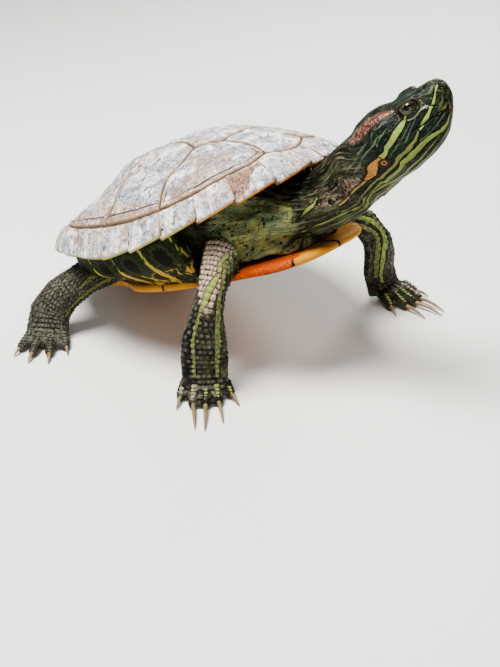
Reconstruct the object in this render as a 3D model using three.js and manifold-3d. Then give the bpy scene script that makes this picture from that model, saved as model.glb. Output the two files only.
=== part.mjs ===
// A red-eared slider turtle, life size, standing on four feet with its head raised.
// Millimetres, +Z up. The turtle faces +X and its right side faces -Y.
import * as THREE from "three";
import { mergeVertices } from "three/addons/utils/BufferGeometryUtils.js";
import Module from "manifold-3d";

const wasm = await Module();
wasm.setup();

// ---- Driving dimensions ----

const shellSize = {
  length: 190, // carapace, straight
  width: 145,
  height: 73.5, // underside of the plastron to the keel
  sideRim: 30, // height of the carapace rim above the plastron, at the side
  frontRim: 47,
  rearRim: 33,
  hipRise: 10.5, // how the rim lifts over each thigh
  widestBack: 7, // how far the widest place sits behind the middle
  crownAhead: 12, // how far the highest place sits ahead of the middle
  lid: 4, // thickness of the carapace
  rimEdge: 2.6,
};
const shellPose = { pitch: 23.4, height: 38 }; // degrees nose up; plastron plane above the floor
const marginalsPerSide = 12;
const nuchalWidth = 9;
const seamNotch = { front: 0.5, rear: 1.9 }; // how deep the rim is nicked between marginals
const plastronThickness = 5;
const bridgeSize = { front: 40, back: -40, foot: 43, bulge: 3, rise: 9 };
const trunkSize = { front: 82, back: -86, half: 42, underLid: 2.6 };
const gap = 0.3; // left between neighbouring parts
const headPose = { base: [108.7, 6, 134.8], yaw: 33, pitch: 50 };
const eye = { along: 18.2, up: 9.6, out: 7.8, radius: 5 };
const orbit = { along: 17, up: 7.6, out: 6, size: [8.2, 6.6, 6.8] };
const clearOfFloor = 0.5; // under the claw tips

const colours = {
  shell: 0x8d857c,
  plastron: 0xd98a2b,
  bridge: 0x3a3a20,
  skin: 0x3c4a26,
  eye: 0x1c1a10,
  claw: 0xb5a884,
};

// ---- Small helpers ----

const vec = (x, y, z) => new THREE.Vector3(x, y, z);
const degrees = THREE.MathUtils.degToRad;
const signedPower = (value, power) => Math.sign(value) * Math.abs(value) ** power;

// Reads the value at a place between 0 and 1 from a table, smoothly.
function smoothTable(places, values) {
  const curve = new THREE.SplineCurve(places.map((place, i) => new THREE.Vector2(place, values[i])));
  return (place) => {
    const last = places.length - 1;
    const start = place >= 1 ? last - 1 : places.findIndex((further) => further > place) - 1;
    const share = (place - places[start]) / (places[start + 1] - places[start]);
    return curve.getPoint((start + share) / last).y;
  };
}

// Skins a stack of rings. A ring of one point is a pole; open ends are closed on their centre.
function loft(rings) {
  const centre = (ring) => ring.reduce((sum, p) => sum.add(p), vec(0, 0, 0)).divideScalar(ring.length);
  const stack = [...rings];
  if (stack[0].length > 1) stack.unshift([centre(stack[0])]);
  if (stack.at(-1).length > 1) stack.push([centre(stack.at(-1))]);
  const starts = [];
  const points = [];
  for (const ring of stack) {
    starts.push(points.length);
    points.push(...ring);
  }
  const index = [];
  for (let i = 0; i + 1 < stack.length; i++) {
    const [lower, upper] = [stack[i], stack[i + 1]];
    const sides = Math.max(lower.length, upper.length);
    for (let k = 0; k < sides; k++) {
      const next = (k + 1) % sides;
      const [a, b] = [starts[i] + (k % lower.length), starts[i] + (next % lower.length)];
      const [c, d] = [starts[i + 1] + (k % upper.length), starts[i + 1] + (next % upper.length)];
      if (lower.length > 1) index.push(a, b, d);
      if (upper.length > 1) index.push(a, d, c);
    }
  }
  const geometry = new THREE.BufferGeometry().setFromPoints(points);
  geometry.setIndex(index);
  if (signedVolume(geometry) < 0) geometry.setIndex(index.reverse());
  return geometry;
}

function signedVolume(geometry) {
  const [p, q, r] = [vec(0, 0, 0), vec(0, 0, 0), vec(0, 0, 0)];
  const place = geometry.attributes.position;
  let sum = 0;
  for (let i = 0; i < geometry.index.count; i += 3) {
    [p, q, r].forEach((v, k) => v.fromBufferAttribute(place, geometry.index.getX(i + k)));
    sum += p.dot(q.cross(r));
  }
  return sum / 6;
}

// An oval ring: flatter or boxier as power falls, with its own rise above and fall below the centre.
function oval(centre, across, up, size, sides) {
  const ring = [];
  for (let i = 0; i < sides; i++) {
    const angle = (2 * Math.PI * i) / sides;
    const height = Math.sin(angle) > 0 ? size.rise : size.fall;
    const side = size.half * signedPower(Math.cos(angle), size.power ?? 1);
    const rise = height * signedPower(Math.sin(angle), size.power ?? 1);
    ring.push(centre.clone().addScaledVector(across, side).addScaledVector(up, rise));
  }
  return ring;
}

// A limb, neck or tail through stations [x, y, z, half width, rise, fall], wide along "across".
function limb(stations, across, { steps = 1, sides = 10, roundEnd = false } = {}) {
  const path = new THREE.CatmullRomCurve3(stations.map(([x, y, z]) => vec(x, y, z)));
  const extents = stations.map(([, , , half, rise, fall]) => vec(half, rise, fall ?? rise));
  const sizes = new THREE.CatmullRomCurve3(extents);
  const count = (stations.length - 1) * steps;
  const rings = [];
  const turned = path.getTangent(0).cross(across).z < 0 ? -1 : 1;
  const ringAt = (share, shrink, ahead) => {
    const tangent = path.getTangent(share);
    const wide = across.clone().addScaledVector(tangent, -across.dot(tangent)).normalize();
    const up = tangent.clone().cross(wide).multiplyScalar(turned);
    const size = sizes.getPoint(share).multiplyScalar(shrink);
    const centre = path.getPoint(share).addScaledVector(tangent, ahead);
    return oval(centre, wide, up, { half: size.x, rise: size.y, fall: size.z }, sides);
  };
  for (let i = 0; i <= count; i++) rings.push(ringAt(i / count, 1, 0));
  if (roundEnd) {
    const end = sizes.getPoint(1).y;
    rings.push(ringAt(1, Math.cos(degrees(50)), end * Math.sin(degrees(50))));
    rings.push([path.getPoint(1).addScaledVector(path.getTangent(1), end)]);
  }
  return loft(rings);
}

// ---- Solids ----

function solid(geometry) {
  const bare = geometry.index ? geometry.toNonIndexed() : geometry.clone();
  bare.deleteAttribute("normal");
  bare.deleteAttribute("uv");
  const merged = mergeVertices(bare, 1e-4);
  const vertProperties = merged.attributes.position.array;
  return new wasm.Manifold(
    new wasm.Mesh({ numProp: 3, vertProperties, triVerts: new Uint32Array(merged.index.array) }),
  );
}

// The solid's surface as a geometry, pushed out along its normals by "by".
function surface(body, by = 0) {
  const mesh = body.getMesh();
  const geometry = new THREE.BufferGeometry();
  geometry.setAttribute("position", new THREE.BufferAttribute(Float32Array.from(mesh.vertProperties), 3));
  geometry.setIndex(new THREE.BufferAttribute(mesh.triVerts, 1));
  if (by !== 0) {
    geometry.computeVertexNormals();
    const { position, normal } = geometry.attributes;
    for (let i = 0; i < position.count; i++) {
      const moved = vec(0, 0, 0).fromBufferAttribute(position, i);
      moved.addScaledVector(vec(0, 0, 0).fromBufferAttribute(normal, i), by);
      position.setXYZ(i, moved.x, moved.y, moved.z);
    }
  }
  return geometry;
}

const grown = (body) => solid(surface(body, gap)).add(body);

const largest = (body) => body.decompose().sort((a, b) => b.volume() - a.volume())[0];

const carve = (body, ...others) => largest(others.reduce((left, other) => left.subtract(grown(other)), body));

// Everything on the far side of a plane through "point", as a block.
function halfSpace(point, direction) {
  const reach = 400;
  const block = new THREE.BoxGeometry(reach, reach, reach).translate(0, 0, reach / 2);
  const way = direction.clone().normalize();
  block.applyQuaternion(new THREE.Quaternion().setFromUnitVectors(vec(0, 0, 1), way));
  return solid(block.translate(point.x, point.y, point.z));
}

const onFloor = (body) => body.intersect(halfSpace(vec(0, 0, 0), vec(0, 0, 1)));

// Parts one body in two with a thin cut across "direction".
function part(body, point, direction) {
  const way = direction.clone().normalize();
  const ahead = point.clone().addScaledVector(way, gap / 2);
  const behind = point.clone().addScaledVector(way, -gap / 2);
  return [
    largest(body.intersect(halfSpace(behind, direction.clone().negate()))),
    largest(body.intersect(halfSpace(ahead, direction))),
  ];
}

// ---- Shell, in its own frame: x forward, z up from the plane of the plastron ----

const toWorld = new THREE.Matrix4()
  .makeRotationY(degrees(-shellPose.pitch))
  .setPosition(0, 0, shellPose.height);

const shellPoint = (x, y, z) => vec(x, y, z).applyMatrix4(toWorld);

function rim(angle) {
  const [c, s] = [Math.cos(angle), Math.sin(angle)];
  const { length, width, sideRim, frontRim, rearRim, widestBack, hipRise } = shellSize;
  const rear = Math.max(-c, 0);
  const raised = (rearRim - sideRim) * rear ** 2 + hipRise * rear * s * s;
  const lift = (frontRim - sideRim) * Math.max(c, 0) ** 1.6 + raised;
  const y = (width / 2) * signedPower(s, 0.88) * (1 - 0.06 * c);
  return vec((length / 2) * c - widestBack * s * s, y, sideRim + lift);
}

// Share of the dome's height left at each share of the way out from the crown to the rim.
const domeShares = [0, 0.2, 0.4, 0.6, 0.75, 0.87, 0.94, 1];
const domeHeights = {
  side: smoothTable(domeShares, [1, 0.96, 0.915, 0.74, 0.59, 0.41, 0.24, 0]),
  front: smoothTable(domeShares, [1, 0.96, 0.83, 0.62, 0.44, 0.25, 0.14, 0]),
  rear: smoothTable(domeShares, [1, 0.935, 0.84, 0.47, 0.3, 0.19, 0.15, 0]),
};

function dome(share, angle, drop = 0) {
  const edge = rim(angle);
  const front = Math.max(Math.cos(angle), 0) ** 1.2;
  const rear = Math.max(-Math.cos(angle), 0);
  const side = 1 - front - rear;
  const { front: atFront, rear: atRear, side: atSide } = domeHeights;
  const height = front * atFront(share) + rear * atRear(share) + side * atSide(share);
  const { crownAhead, height: crownHeight } = shellSize;
  return vec(
    crownAhead + share * (edge.x - crownAhead),
    share * edge.y,
    edge.z + (crownHeight - edge.z) * height - drop,
  );
}

// Rim angles of the seams between marginals, from the nuchal round to the tail, spaced by arc length.
function seamAngles() {
  const fine = 400;
  const reach = [0];
  for (let i = 1; i <= fine; i++) {
    reach.push(reach.at(-1) + rim((Math.PI * i) / fine).distanceTo(rim((Math.PI * (i - 1)) / fine)));
  }
  const step = (reach.at(-1) - nuchalWidth / 2) / marginalsPerSide;
  const angles = [];
  for (let k = 0; k <= marginalsPerSide; k++) {
    const along = nuchalWidth / 2 + k * step;
    angles.push((Math.PI * Math.min(fine, reach.findIndex((far) => far >= along - 1e-6))) / fine);
  }
  return angles;
}

// Stations round the rim: each seam, with points between that stand a little further out.
function rimStations() {
  const seams = seamAngles();
  const stations = [{ angle: 0, nick: 0 }];
  for (let k = 0; k < marginalsPerSide; k++) {
    const back = (1 - Math.cos(seams[k])) / 2;
    const nick = THREE.MathUtils.lerp(seamNotch.front, seamNotch.rear, back ** 2);
    stations.push({ angle: seams[k], nick });
    stations.push({ angle: THREE.MathUtils.lerp(seams[k], seams[k + 1], 0.5), nick: 0 });
  }
  stations.push({ angle: Math.PI, nick: seamNotch.rear * 1.5 });
  const left = stations.slice(1, -1).reverse();
  return [...stations, ...left.map(({ angle, nick }) => ({ angle: -angle, nick }))];
}

function carapace() {
  const stations = rimStations();
  const ring = (make) => stations.map(({ angle, nick }) => make(angle, nick));
  const outside = [0.2, 0.42, 0.62, 0.78, 0.88, 0.95].map((share) => ring((angle) => dome(share, angle)));
  const inside = [0.8, 0.6, 0.3].map((share) => ring((angle) => dome(share, angle, shellSize.lid)));
  const edge = (drop, share) =>
    ring((angle, nick) => {
      const at = rim(angle);
      const out = share * (1 - nick / Math.hypot(at.x, at.y));
      return vec(at.x * out, at.y * out, at.z - drop);
    });
  return loft([
    [dome(0, 0)],
    ...outside,
    edge(0, 1),
    edge(shellSize.rimEdge, 0.995),
    edge(shellSize.rimEdge * 0.9, 0.85),
    ...inside,
    [dome(0, 0, shellSize.lid)],
  ]);
}

// Half outline of the plastron, front to back.
const plastronHalf = [
  [93, 0], [92, 13], [88, 24], [78, 33], [61, 39], [44, 44], [24, 49], [2, 50.5], [-20, 48],
  [-37, 40], [-50, 36], [-64, 35], [-76, 28], [-84, 17], [-87, 8], [-82, 0],
];

const plastronLift = (x) => 0.6 * Math.max(0, (x - 45) / 46) ** 1.6 + 5 * Math.max(0, (-x - 35) / 52) ** 1.6;

function plastron() {
  const half = new THREE.SplineCurve(plastronHalf.map(([x, y]) => new THREE.Vector2(x, y))).getPoints(17);
  const outline = [...half, ...half.slice(1, -1).reverse().map((p) => new THREE.Vector2(p.x, -p.y))];
  const ring = (share, height) =>
    outline.map((p) => vec(p.x * share, p.y * share, plastronLift(p.x) * share + height));
  return loft([
    [vec(0, 0, 0.6)],
    ring(0.55, 0.5),
    ring(0.93, 0.2),
    ring(1, 1.6),
    ring(1, plastronThickness - 1.4),
    ring(0.93, plastronThickness),
    [vec(0, 0, plastronThickness)],
  ]);
}

// The bridge joins plastron and marginals between the legs. side: 1 left, -1 right.
function bridge(side) {
  const { front, back, foot, bulge, rise } = bridgeSize;
  const steps = 4;
  const rings = [];
  for (let i = 0; i <= steps; i++) {
    const share = i / steps;
    const x = THREE.MathUtils.lerp(front, back, share);
    const edge = rim(Math.acos((x + 5) / (shellSize.length / 2)));
    const out = foot + bulge * Math.sin(Math.PI * share);
    const raised = rise * share ** 3;
    rings.push(
      [
        [edge.y * 0.93, edge.z - 1],
        [edge.y * 0.9, edge.z * 0.55],
        [out + 4, 4 + raised],
        [out, 1 + raised],
        [foot - 4, 5 + raised],
        [edge.y * 0.8, edge.z * 0.62],
        [edge.y * 0.84, edge.z - 1],
      ].map(([y, z]) => vec(x, side * y, z)),
    );
  }
  return loft(rings);
}

// ---- Flesh ----

// Fills the shell and closes its openings with skin that slopes from under the rim to the plastron.
function trunk() {
  const count = 24;
  const ring = (make) => Array.from({ length: count }, (_, i) => make((2 * Math.PI * i) / count));
  const roof = shellSize.lid + trunkSize.underLid;
  const under = (angle) => {
    const edge = rim(angle);
    return vec(edge.x, edge.y, 0).multiplyScalar(0.8 - 0.05 * Math.max(Math.cos(angle), 0)).setZ(edge.z);
  };
  const { front, back, half } = trunkSize;
  const bottom = plastronThickness - 1;
  const base = (angle) => {
    const x = (front + back) / 2 + ((front - back) / 2) * Math.cos(angle);
    return vec(x, half * signedPower(Math.sin(angle), 0.75), bottom + plastronLift(x));
  };
  return loft([
    [dome(0, 0, roof)],
    ...[0.35, 0.6, 0.74].map((share) => ring((angle) => dome(share, angle, roof))),
    ring(under),
    ring((angle) => under(angle).lerp(base(angle), 0.55)),
    ring((angle) => base(angle).add(vec(0, 0, 3))),
    ring(base),
    [vec(0, 0, bottom)],
  ]).applyMatrix4(toWorld);
}

// Neck stations run from deep in the shell to the back of the skull.
const neckStations = [
  [36, 0, 78, 42, 20, 13],
  [52, 0, 85, 34, 18, 12],
  [66, 0, 92, 24, 16.5, 13.5],
  [78.5, 0, 102.5, 17.5, 15.5, 16],
  [90.7, 2, 117, 15.5, 15.5, 16.5],
  [100.5, 4, 128, 15.5, 16, 16.5],
  [109, 7, 139, 15, 16, 16],
];

// The head in its own frame: x to the snout, y to its left, z to the crown.
function headMatrix() {
  const along = vec(
    Math.cos(degrees(headPose.yaw)) * Math.cos(degrees(headPose.pitch)),
    Math.sin(degrees(headPose.yaw)) * Math.cos(degrees(headPose.pitch)),
    Math.sin(degrees(headPose.pitch)),
  );
  const left = vec(-Math.sin(degrees(headPose.yaw)), Math.cos(degrees(headPose.yaw)), 0);
  return new THREE.Matrix4().makeBasis(along, left, along.clone().cross(left)).setPosition(...headPose.base);
}

// Along the head: place, half width, crown, throat and boxiness.
const headStations = [
  [-13, 14, 17.5, -12.5, 0.95],
  [-6, 15.6, 19.6, -13.6, 0.9],
  [1, 16.4, 19.6, -14.8, 0.86],
  [7, 15.8, 17.9, -14.8, 0.84],
  [12, 14.2, 15.2, -14.9, 0.84],
  [17, 12.6, 13.8, -14.4, 0.86],
  [22, 11, 12.4, -12.8, 0.88],
  [27, 9, 11.2, -9.2, 0.9],
  [31, 7, 10.2, -5.6, 0.92],
  [34, 4.6, 8.8, -2, 0.95],
  [35.4, 2.2, 6.8, 1.4, 1],
];

function head() {
  const [widestAt, sides] = [0.42, 16]; // the widest place, as a share of the way up from the throat
  const rings = headStations.map(([x, half, crown, throat, power]) => {
    const middle = throat + (crown - throat) * widestAt;
    const size = { half, rise: crown - middle, fall: middle - throat, power };
    return oval(vec(x, 0, middle), vec(0, 1, 0), vec(0, 0, 1), size, sides);
  });
  return loft(rings).applyMatrix4(headMatrix());
}

// A block below the mouth line, from the chin back to the jaw joint.
function jawBlock(shrink) {
  const [snout, below] = [40, -30];
  const mouth = [[8, -3], [20, -2.8], [27.5, -3.6], [31, -4.4], [snout, -4.6]];
  const lips = mouth.map(([x, z], i) => new THREE.Vector2(i ? x : x + shrink, z - shrink));
  const corners = [new THREE.Vector2(snout, below), new THREE.Vector2(2 + shrink, below)];
  const width = 60;
  const shape = new THREE.Shape([...lips, ...corners]);
  const block = new THREE.ExtrudeGeometry(shape, { depth: width, bevelEnabled: false });
  block.translate(0, 0, -width / 2).rotateX(Math.PI / 2);
  return solid(block.applyMatrix4(headMatrix()));
}

// The swelling round each eye socket.
function orbitSwelling(side) {
  const ball = new THREE.SphereGeometry(1, 10, 6).scale(...orbit.size);
  return solid(ball.translate(orbit.along, side * orbit.out, orbit.up).applyMatrix4(headMatrix()));
}

function eyeball(side) {
  const ball = new THREE.SphereGeometry(eye.radius, 12, 7);
  return solid(ball.translate(eye.along, side * eye.out, eye.up).applyMatrix4(headMatrix()));
}

const tailStations = [
  [-62, 0, 24, 11, 8],
  [-76, 2, 19, 9, 7.5],
  [-88, 8, 13, 6.5, 6],
  [-99, 17, 7.5, 4.6, 4.6],
  [-106, 27, 3.6, 2.6, 3],
  [-109, 35, 2, 1.4, 1.8],
];

// Limb stations [x, y, z, half width, half thickness], from inside the body to the wrist or ankle.
const legs = {
  front_right: {
    across: vec(0.738, 0.674, 0),
    stations: [
      [33, -24, 77, 15, 12],
      [40, -40, 71, 10, 9.5],
      [44.5, -52, 58, 7.2, 8],
      [46, -57, 46, 8, 7.6],
      [45.5, -59, 33, 11.4, 6.8],
      [46, -60, 19, 12.6, 5.6],
      [48, -62, 6, 12, 4.6],
    ],
    joint: 3,
    foot: { at: [48, -62, 6.5], heading: -45, kind: "fore", toward: 1 },
  },
  front_left: {
    across: vec(0.3, 0.95, 0),
    stations: [
      [33, 24, 75, 14, 11],
      [44, 44, 69, 9, 8.4],
      [56, 60, 59, 8, 7.6],
      [59.5, 69, 46, 8.6, 7.6],
      [57, 76, 33, 9.6, 7],
      [53, 82, 20, 10.4, 5.8],
      [55, 86, 6, 11.2, 4.6],
    ],
    joint: 3,
    foot: { at: [64, 88, 6.5], heading: 2, kind: "fore", toward: -1 },
  },
  hind_right: {
    across: vec(0.74, 0.67, 0),
    stations: [
      [-46, -24, 36, 17, 12],
      [-49, -42, 35, 12, 10],
      [-52, -58, 31, 9.6, 9],
      [-57, -70, 24, 10.6, 8],
      [-59.5, -78, 15, 11.8, 6.4],
      [-56, -84, 6, 12, 5],
    ],
    joint: 2,
    foot: { at: [-53, -87, 5.5], heading: -55, kind: "hind", toward: 1 },
  },
  hind_left: {
    across: vec(0.74, -0.67, 0),
    stations: [
      [-46, 24, 36, 17, 12],
      [-50, 42, 35, 12, 10],
      [-54, 57, 31, 9.6, 9],
      [-60, 68, 24, 10.6, 8],
      [-64, 75, 15, 11.8, 6.4],
      [-62, 82, 6, 12, 5],
    ],
    joint: 2,
    foot: { at: [-59.5, 85, 5.5], heading: 62, kind: "hind", toward: -1 },
  },
};

// Digits from the inner side out. side and back place the knuckle; turn fans the digit outwards.
const feet = {
  fore: {
    palm: { back: 9, ahead: 4, half: 12, thick: 4.6 },
    digits: [
      { side: 10.5, back: 3, turn: 22, length: 7, thick: 2.9, claw: 9, clawTurn: 8 },
      { side: 5.6, back: 0, turn: 7, length: 10, thick: 3.1, claw: 16, clawTurn: 0 },
      { side: 0.2, back: 0, turn: 0, length: 12, thick: 3.2, claw: 20, clawTurn: -2 },
      { side: -5.2, back: 0, turn: -6, length: 11.5, thick: 3.1, claw: 19, clawTurn: 9 },
      { side: -10, back: 3, turn: -20, length: 8, thick: 2.9, claw: 9, clawTurn: 6 },
    ],
  },
  hind: {
    palm: { back: 8, ahead: 6, half: 12.5, thick: 4.2 },
    digits: [
      { side: 9.6, back: 3, turn: 20, length: 8, thick: 2.8, claw: 6.5, clawTurn: 6 },
      { side: 3.6, back: 0, turn: 8, length: 12.5, thick: 3, claw: 8, clawTurn: 3 },
      { side: -3, back: 0, turn: -4, length: 13, thick: 3, claw: 8, clawTurn: 0 },
      { side: -9, back: 1, turn: -16, length: 10.5, thick: 2.9, claw: 7, clawTurn: -3 },
    ],
  },
};

const digitEndHeight = 2.9;

const heading = (angle) => vec(Math.cos(degrees(angle)), Math.sin(degrees(angle)), 0);

// One digit: knuckle, end and claw tip. toward turns "outwards" into an angle for each side.
function digitPlan(digit, foot) {
  const forward = heading(foot.heading);
  const across = heading(foot.heading + 90 * foot.toward);
  const knuckle = vec(...foot.at).addScaledVector(across, digit.side).addScaledVector(forward, -digit.back);
  const way = heading(foot.heading + digit.turn * foot.toward);
  const end = knuckle.clone().addScaledVector(way, digit.length);
  end.z = digitEndHeight;
  const clawWay = heading(foot.heading + (digit.turn + digit.clawTurn) * foot.toward);
  const tip = end.clone().addScaledVector(clawWay, digit.claw);
  tip.z = clearOfFloor + 0.3;
  return { knuckle, end, tip, way };
}

function digitBody({ thick }, { knuckle, end, way }) {
  const across = vec(-way.y, way.x, 0);
  const stations = [
    [...knuckle.toArray(), thick * 1.1, thick * 1.15],
    [...end.toArray(), thick * 0.85, thick * 0.85, digitEndHeight + 0.6],
  ];
  return solid(limb(stations, across, { sides: 6, roundEnd: true }));
}

function claw({ claw: length, thick }, { end, tip, way }) {
  const across = vec(-way.y, way.x, 0);
  const back = end.clone().addScaledVector(way, -1);
  const bow = end.clone().lerp(tip, 0.45).add(vec(0, 0, 0.9 + length * 0.05));
  const stations = [
    [...back.toArray(), thick * 0.5, thick * 0.5],
    [...bow.toArray(), thick * 0.4, thick * 0.4],
    [...tip.toArray(), 0.35, 0.3],
  ];
  return solid(limb(stations, across, { sides: 5 }));
}

function palmBody({ at, heading: angle, kind }) {
  const { back, ahead, half, thick } = feet[kind].palm;
  const forward = heading(angle);
  const across = vec(-forward.y, forward.x, 0);
  const place = (by, height) => vec(...at).addScaledVector(forward, by).setZ(height).toArray();
  const stations = [
    [...place(-back, 6.5), half * 0.85, thick * 0.9, 7],
    [...place(-back / 3, 5.5), half, thick, 7],
    [...place(ahead, 3.6), half * 0.86, thick * 0.6, 4],
  ];
  return solid(limb(stations, across, { sides: 8 }));
}

// ---- Assembly ----

const parts = new Map();
const put = (name, body, colour) => parts.set(name, { body, colour });

// Neighbours are carved by these whole shapes, which keeps the gap even.
const whole = {
  carapace: solid(carapace().applyMatrix4(toWorld)),
  plastron: solid(plastron().applyMatrix4(toWorld)),
  bridgeLeft: solid(bridge(1).applyMatrix4(toWorld)),
  bridgeRight: solid(bridge(-1).applyMatrix4(toWorld)),
  trunk: solid(trunk()),
  neck: solid(limb(neckStations, vec(0, 1, 0), { steps: 2, sides: 16 })),
  head: solid(head()).add(orbitSwelling(1)).add(orbitSwelling(-1)),
  tail: solid(limb(tailStations, vec(0.5, 1, 0), { roundEnd: true })),
};
const shell = [whole.carapace, whole.plastron, whole.bridgeLeft, whole.bridgeRight];

put("carapace", whole.carapace, "shell");
put("plastron", whole.plastron, "plastron");
put("bridge_left", carve(whole.bridgeLeft, whole.carapace, whole.plastron), "bridge");
put("bridge_right", carve(whole.bridgeRight, whole.carapace, whole.plastron), "bridge");
put("trunk", carve(whole.trunk, ...shell), "skin");
put("neck", carve(whole.neck, ...shell, whole.trunk, whole.head), "skin");
put("tail", carve(onFloor(whole.tail), ...shell, whole.trunk), "skin");

const eyes = [eyeball(1), eyeball(-1)];
put("eye_left", eyes[0], "eye");
put("eye_right", eyes[1], "eye");
const skull = carve(whole.head, ...eyes);
put("head", largest(skull.subtract(jawBlock(0))), "skin");
put("lower_jaw", largest(skull.intersect(jawBlock(gap))), "skin");

for (const [name, leg] of Object.entries(legs)) {
  const plans = feet[leg.foot.kind].digits.map((digit) => [digit, digitPlan(digit, leg.foot)]);
  const claws = plans.map(([digit, plan]) => claw(digit, plan));
  const sole = plans.reduce((body, [digit, plan]) => body.add(digitBody(digit, plan)), palmBody(leg.foot));
  const stem = solid(limb(leg.stations, leg.across));
  const limbWhole = carve(onFloor(stem.add(sole)), ...shell, whole.trunk, whole.neck, ...claws);
  const station = (i) => vec(...leg.stations[i].slice(0, 3));
  const last = leg.stations.length - 1;
  const elbowWay = station(leg.joint + 1).sub(station(leg.joint - 1));
  const wristWay = station(last).sub(station(last - 1));
  const [upper, rest] = part(limbWhole, station(leg.joint), elbowWay);
  const [lower, foot] = part(rest, station(last - 1), wristWay);
  put(`leg_${name}_upper`, upper, "skin");
  put(`leg_${name}_lower`, lower, "skin");
  put(`foot_${name}`, foot, "skin");
  claws.forEach((body, i) => put(`claw_${name}_${i + 1}`, onFloor(body), "claw"));
}

const turtle = new THREE.Group();
for (const [name, { body, colour }] of parts) {
  const material = new THREE.MeshStandardMaterial({ color: colours[colour], roughness: 0.7, metalness: 0 });
  const mesh = new THREE.Mesh(surface(body), material);
  mesh.name = name;
  turtle.add(mesh);
}

// The origin is the middle of the box round the turtle, on the floor.
const middle = new THREE.Box3().setFromObject(turtle).getCenter(vec(0, 0, 0));
turtle.position.set(-middle.x, -middle.y, 0);

const root = new THREE.Group();
root.add(turtle);
export default root;
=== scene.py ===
import math
import bmesh
import bpy
import numpy as np
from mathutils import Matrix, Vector
from mathutils.bvhtree import BVHTree


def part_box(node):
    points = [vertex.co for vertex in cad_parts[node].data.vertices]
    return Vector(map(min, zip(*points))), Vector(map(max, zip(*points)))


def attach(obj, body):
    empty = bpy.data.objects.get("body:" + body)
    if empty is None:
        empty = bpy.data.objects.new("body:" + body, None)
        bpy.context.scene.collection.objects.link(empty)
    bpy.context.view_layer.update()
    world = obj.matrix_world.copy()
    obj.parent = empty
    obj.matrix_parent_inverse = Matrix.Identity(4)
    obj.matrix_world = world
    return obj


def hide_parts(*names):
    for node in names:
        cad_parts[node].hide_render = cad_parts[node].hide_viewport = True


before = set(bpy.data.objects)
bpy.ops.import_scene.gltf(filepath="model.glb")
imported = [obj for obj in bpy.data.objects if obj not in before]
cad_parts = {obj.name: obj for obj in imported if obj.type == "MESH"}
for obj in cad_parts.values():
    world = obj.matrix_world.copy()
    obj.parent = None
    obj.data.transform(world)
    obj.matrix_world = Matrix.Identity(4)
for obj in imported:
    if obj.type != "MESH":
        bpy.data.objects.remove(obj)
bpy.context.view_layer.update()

mm = 0.001

# Sizes below are millimetres in the turtle's own frame: +X forward, +Y to its left, floor at z 0.
shell = {
    "length": 190, "width": 145, "height": 73.5,
    "sideRim": 30, "frontRim": 47, "rearRim": 33, "hipRise": 10.5,
    "widestBack": 7, "crownAhead": 12, "lid": 4, "rimEdge": 2.6,
    "pitch": 23.4, "lift": 38,
}
pitchCos, pitchSin = math.cos(math.radians(shell["pitch"])), math.sin(math.radians(shell["pitch"]))


def shellToTurtle(p):
    p = np.asarray(p, float)
    x = p[..., 0] * pitchCos - p[..., 2] * pitchSin
    z = p[..., 0] * pitchSin + p[..., 2] * pitchCos + shell["lift"]
    return np.stack([x, p[..., 1], z], -1)


# The frame's origin is the middle of the whole box, so the turtle's own origin is found from its shell.
frontLip = shellToTurtle([0.995 * shell["length"] / 2, 0, shell["frontRim"] - shell["rimEdge"]])
shellBox = np.array(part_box("carapace"))
shift = np.array([shellBox[1][0] / mm - frontLip[0], (shellBox[0][1] + shellBox[1][1]) / 2 / mm, 0])


def place(p):
    return (np.asarray(p, float) + shift) * mm


def unplace(p):
    return np.asarray(p, float) / mm - shift


# Numbers and meshes

def smoothStep(x, low, high):
    t = np.clip((x - low) / (high - low), 0, 1)
    return t * t * (3 - 2 * t)


def signedPower(x, power):
    return np.sign(x) * np.abs(x) ** power


def wobble(p, size, seed=0, waves=7):
    # a smooth random field, about -1 to 1, with features of about "size"
    draw = np.random.default_rng(seed)
    p = np.asarray(p, float)
    total = np.zeros(p.shape[:-1])
    for _ in range(waves):
        way = draw.normal(size=p.shape[-1])
        way *= draw.uniform(0.6, 1.5) * 2 * math.pi / size / np.linalg.norm(way)
        total += np.sin(p @ way + draw.uniform(0, 2 * math.pi))
    return total / math.sqrt(waves * 1.2)


def wayAlong(points):
    # how far each point lies along a line of points
    return np.concatenate([[0], np.cumsum(np.linalg.norm(np.diff(points, axis=0), axis=1))])


def pieceOf(name, mesh, material, data=None):
    # a smooth piece made from a mesh, with a float per point under each name
    for key, values in (data or {}).items():
        layer = mesh.attributes.new(key, "FLOAT", "POINT")
        layer.data.foreach_set("value", np.asarray(values, np.float32).ravel())
    mesh.polygons.foreach_set("use_smooth", [True] * len(mesh.polygons))
    mesh.materials.clear()
    mesh.materials.append(material)
    obj = bpy.data.objects.new(name, mesh)
    bpy.context.scene.collection.objects.link(obj)
    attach(obj, "root")
    return obj


def makeObject(name, verts, faces, material, data=None):
    mesh = bpy.data.meshes.new(name)
    mesh.from_pydata(np.asarray(verts).tolist(), [], [list(map(int, f)) for f in faces])
    mesh.update()
    return pieceOf(name, mesh, material, data)


def stackFaces(rows, columns, closed=True):
    faces = []
    span = columns if closed else columns - 1
    for i in range(rows - 1):
        for j in range(span):
            k = (j + 1) % columns
            faces.append((i * columns + j, i * columns + k, (i + 1) * columns + k, (i + 1) * columns + j))
    return faces


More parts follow.
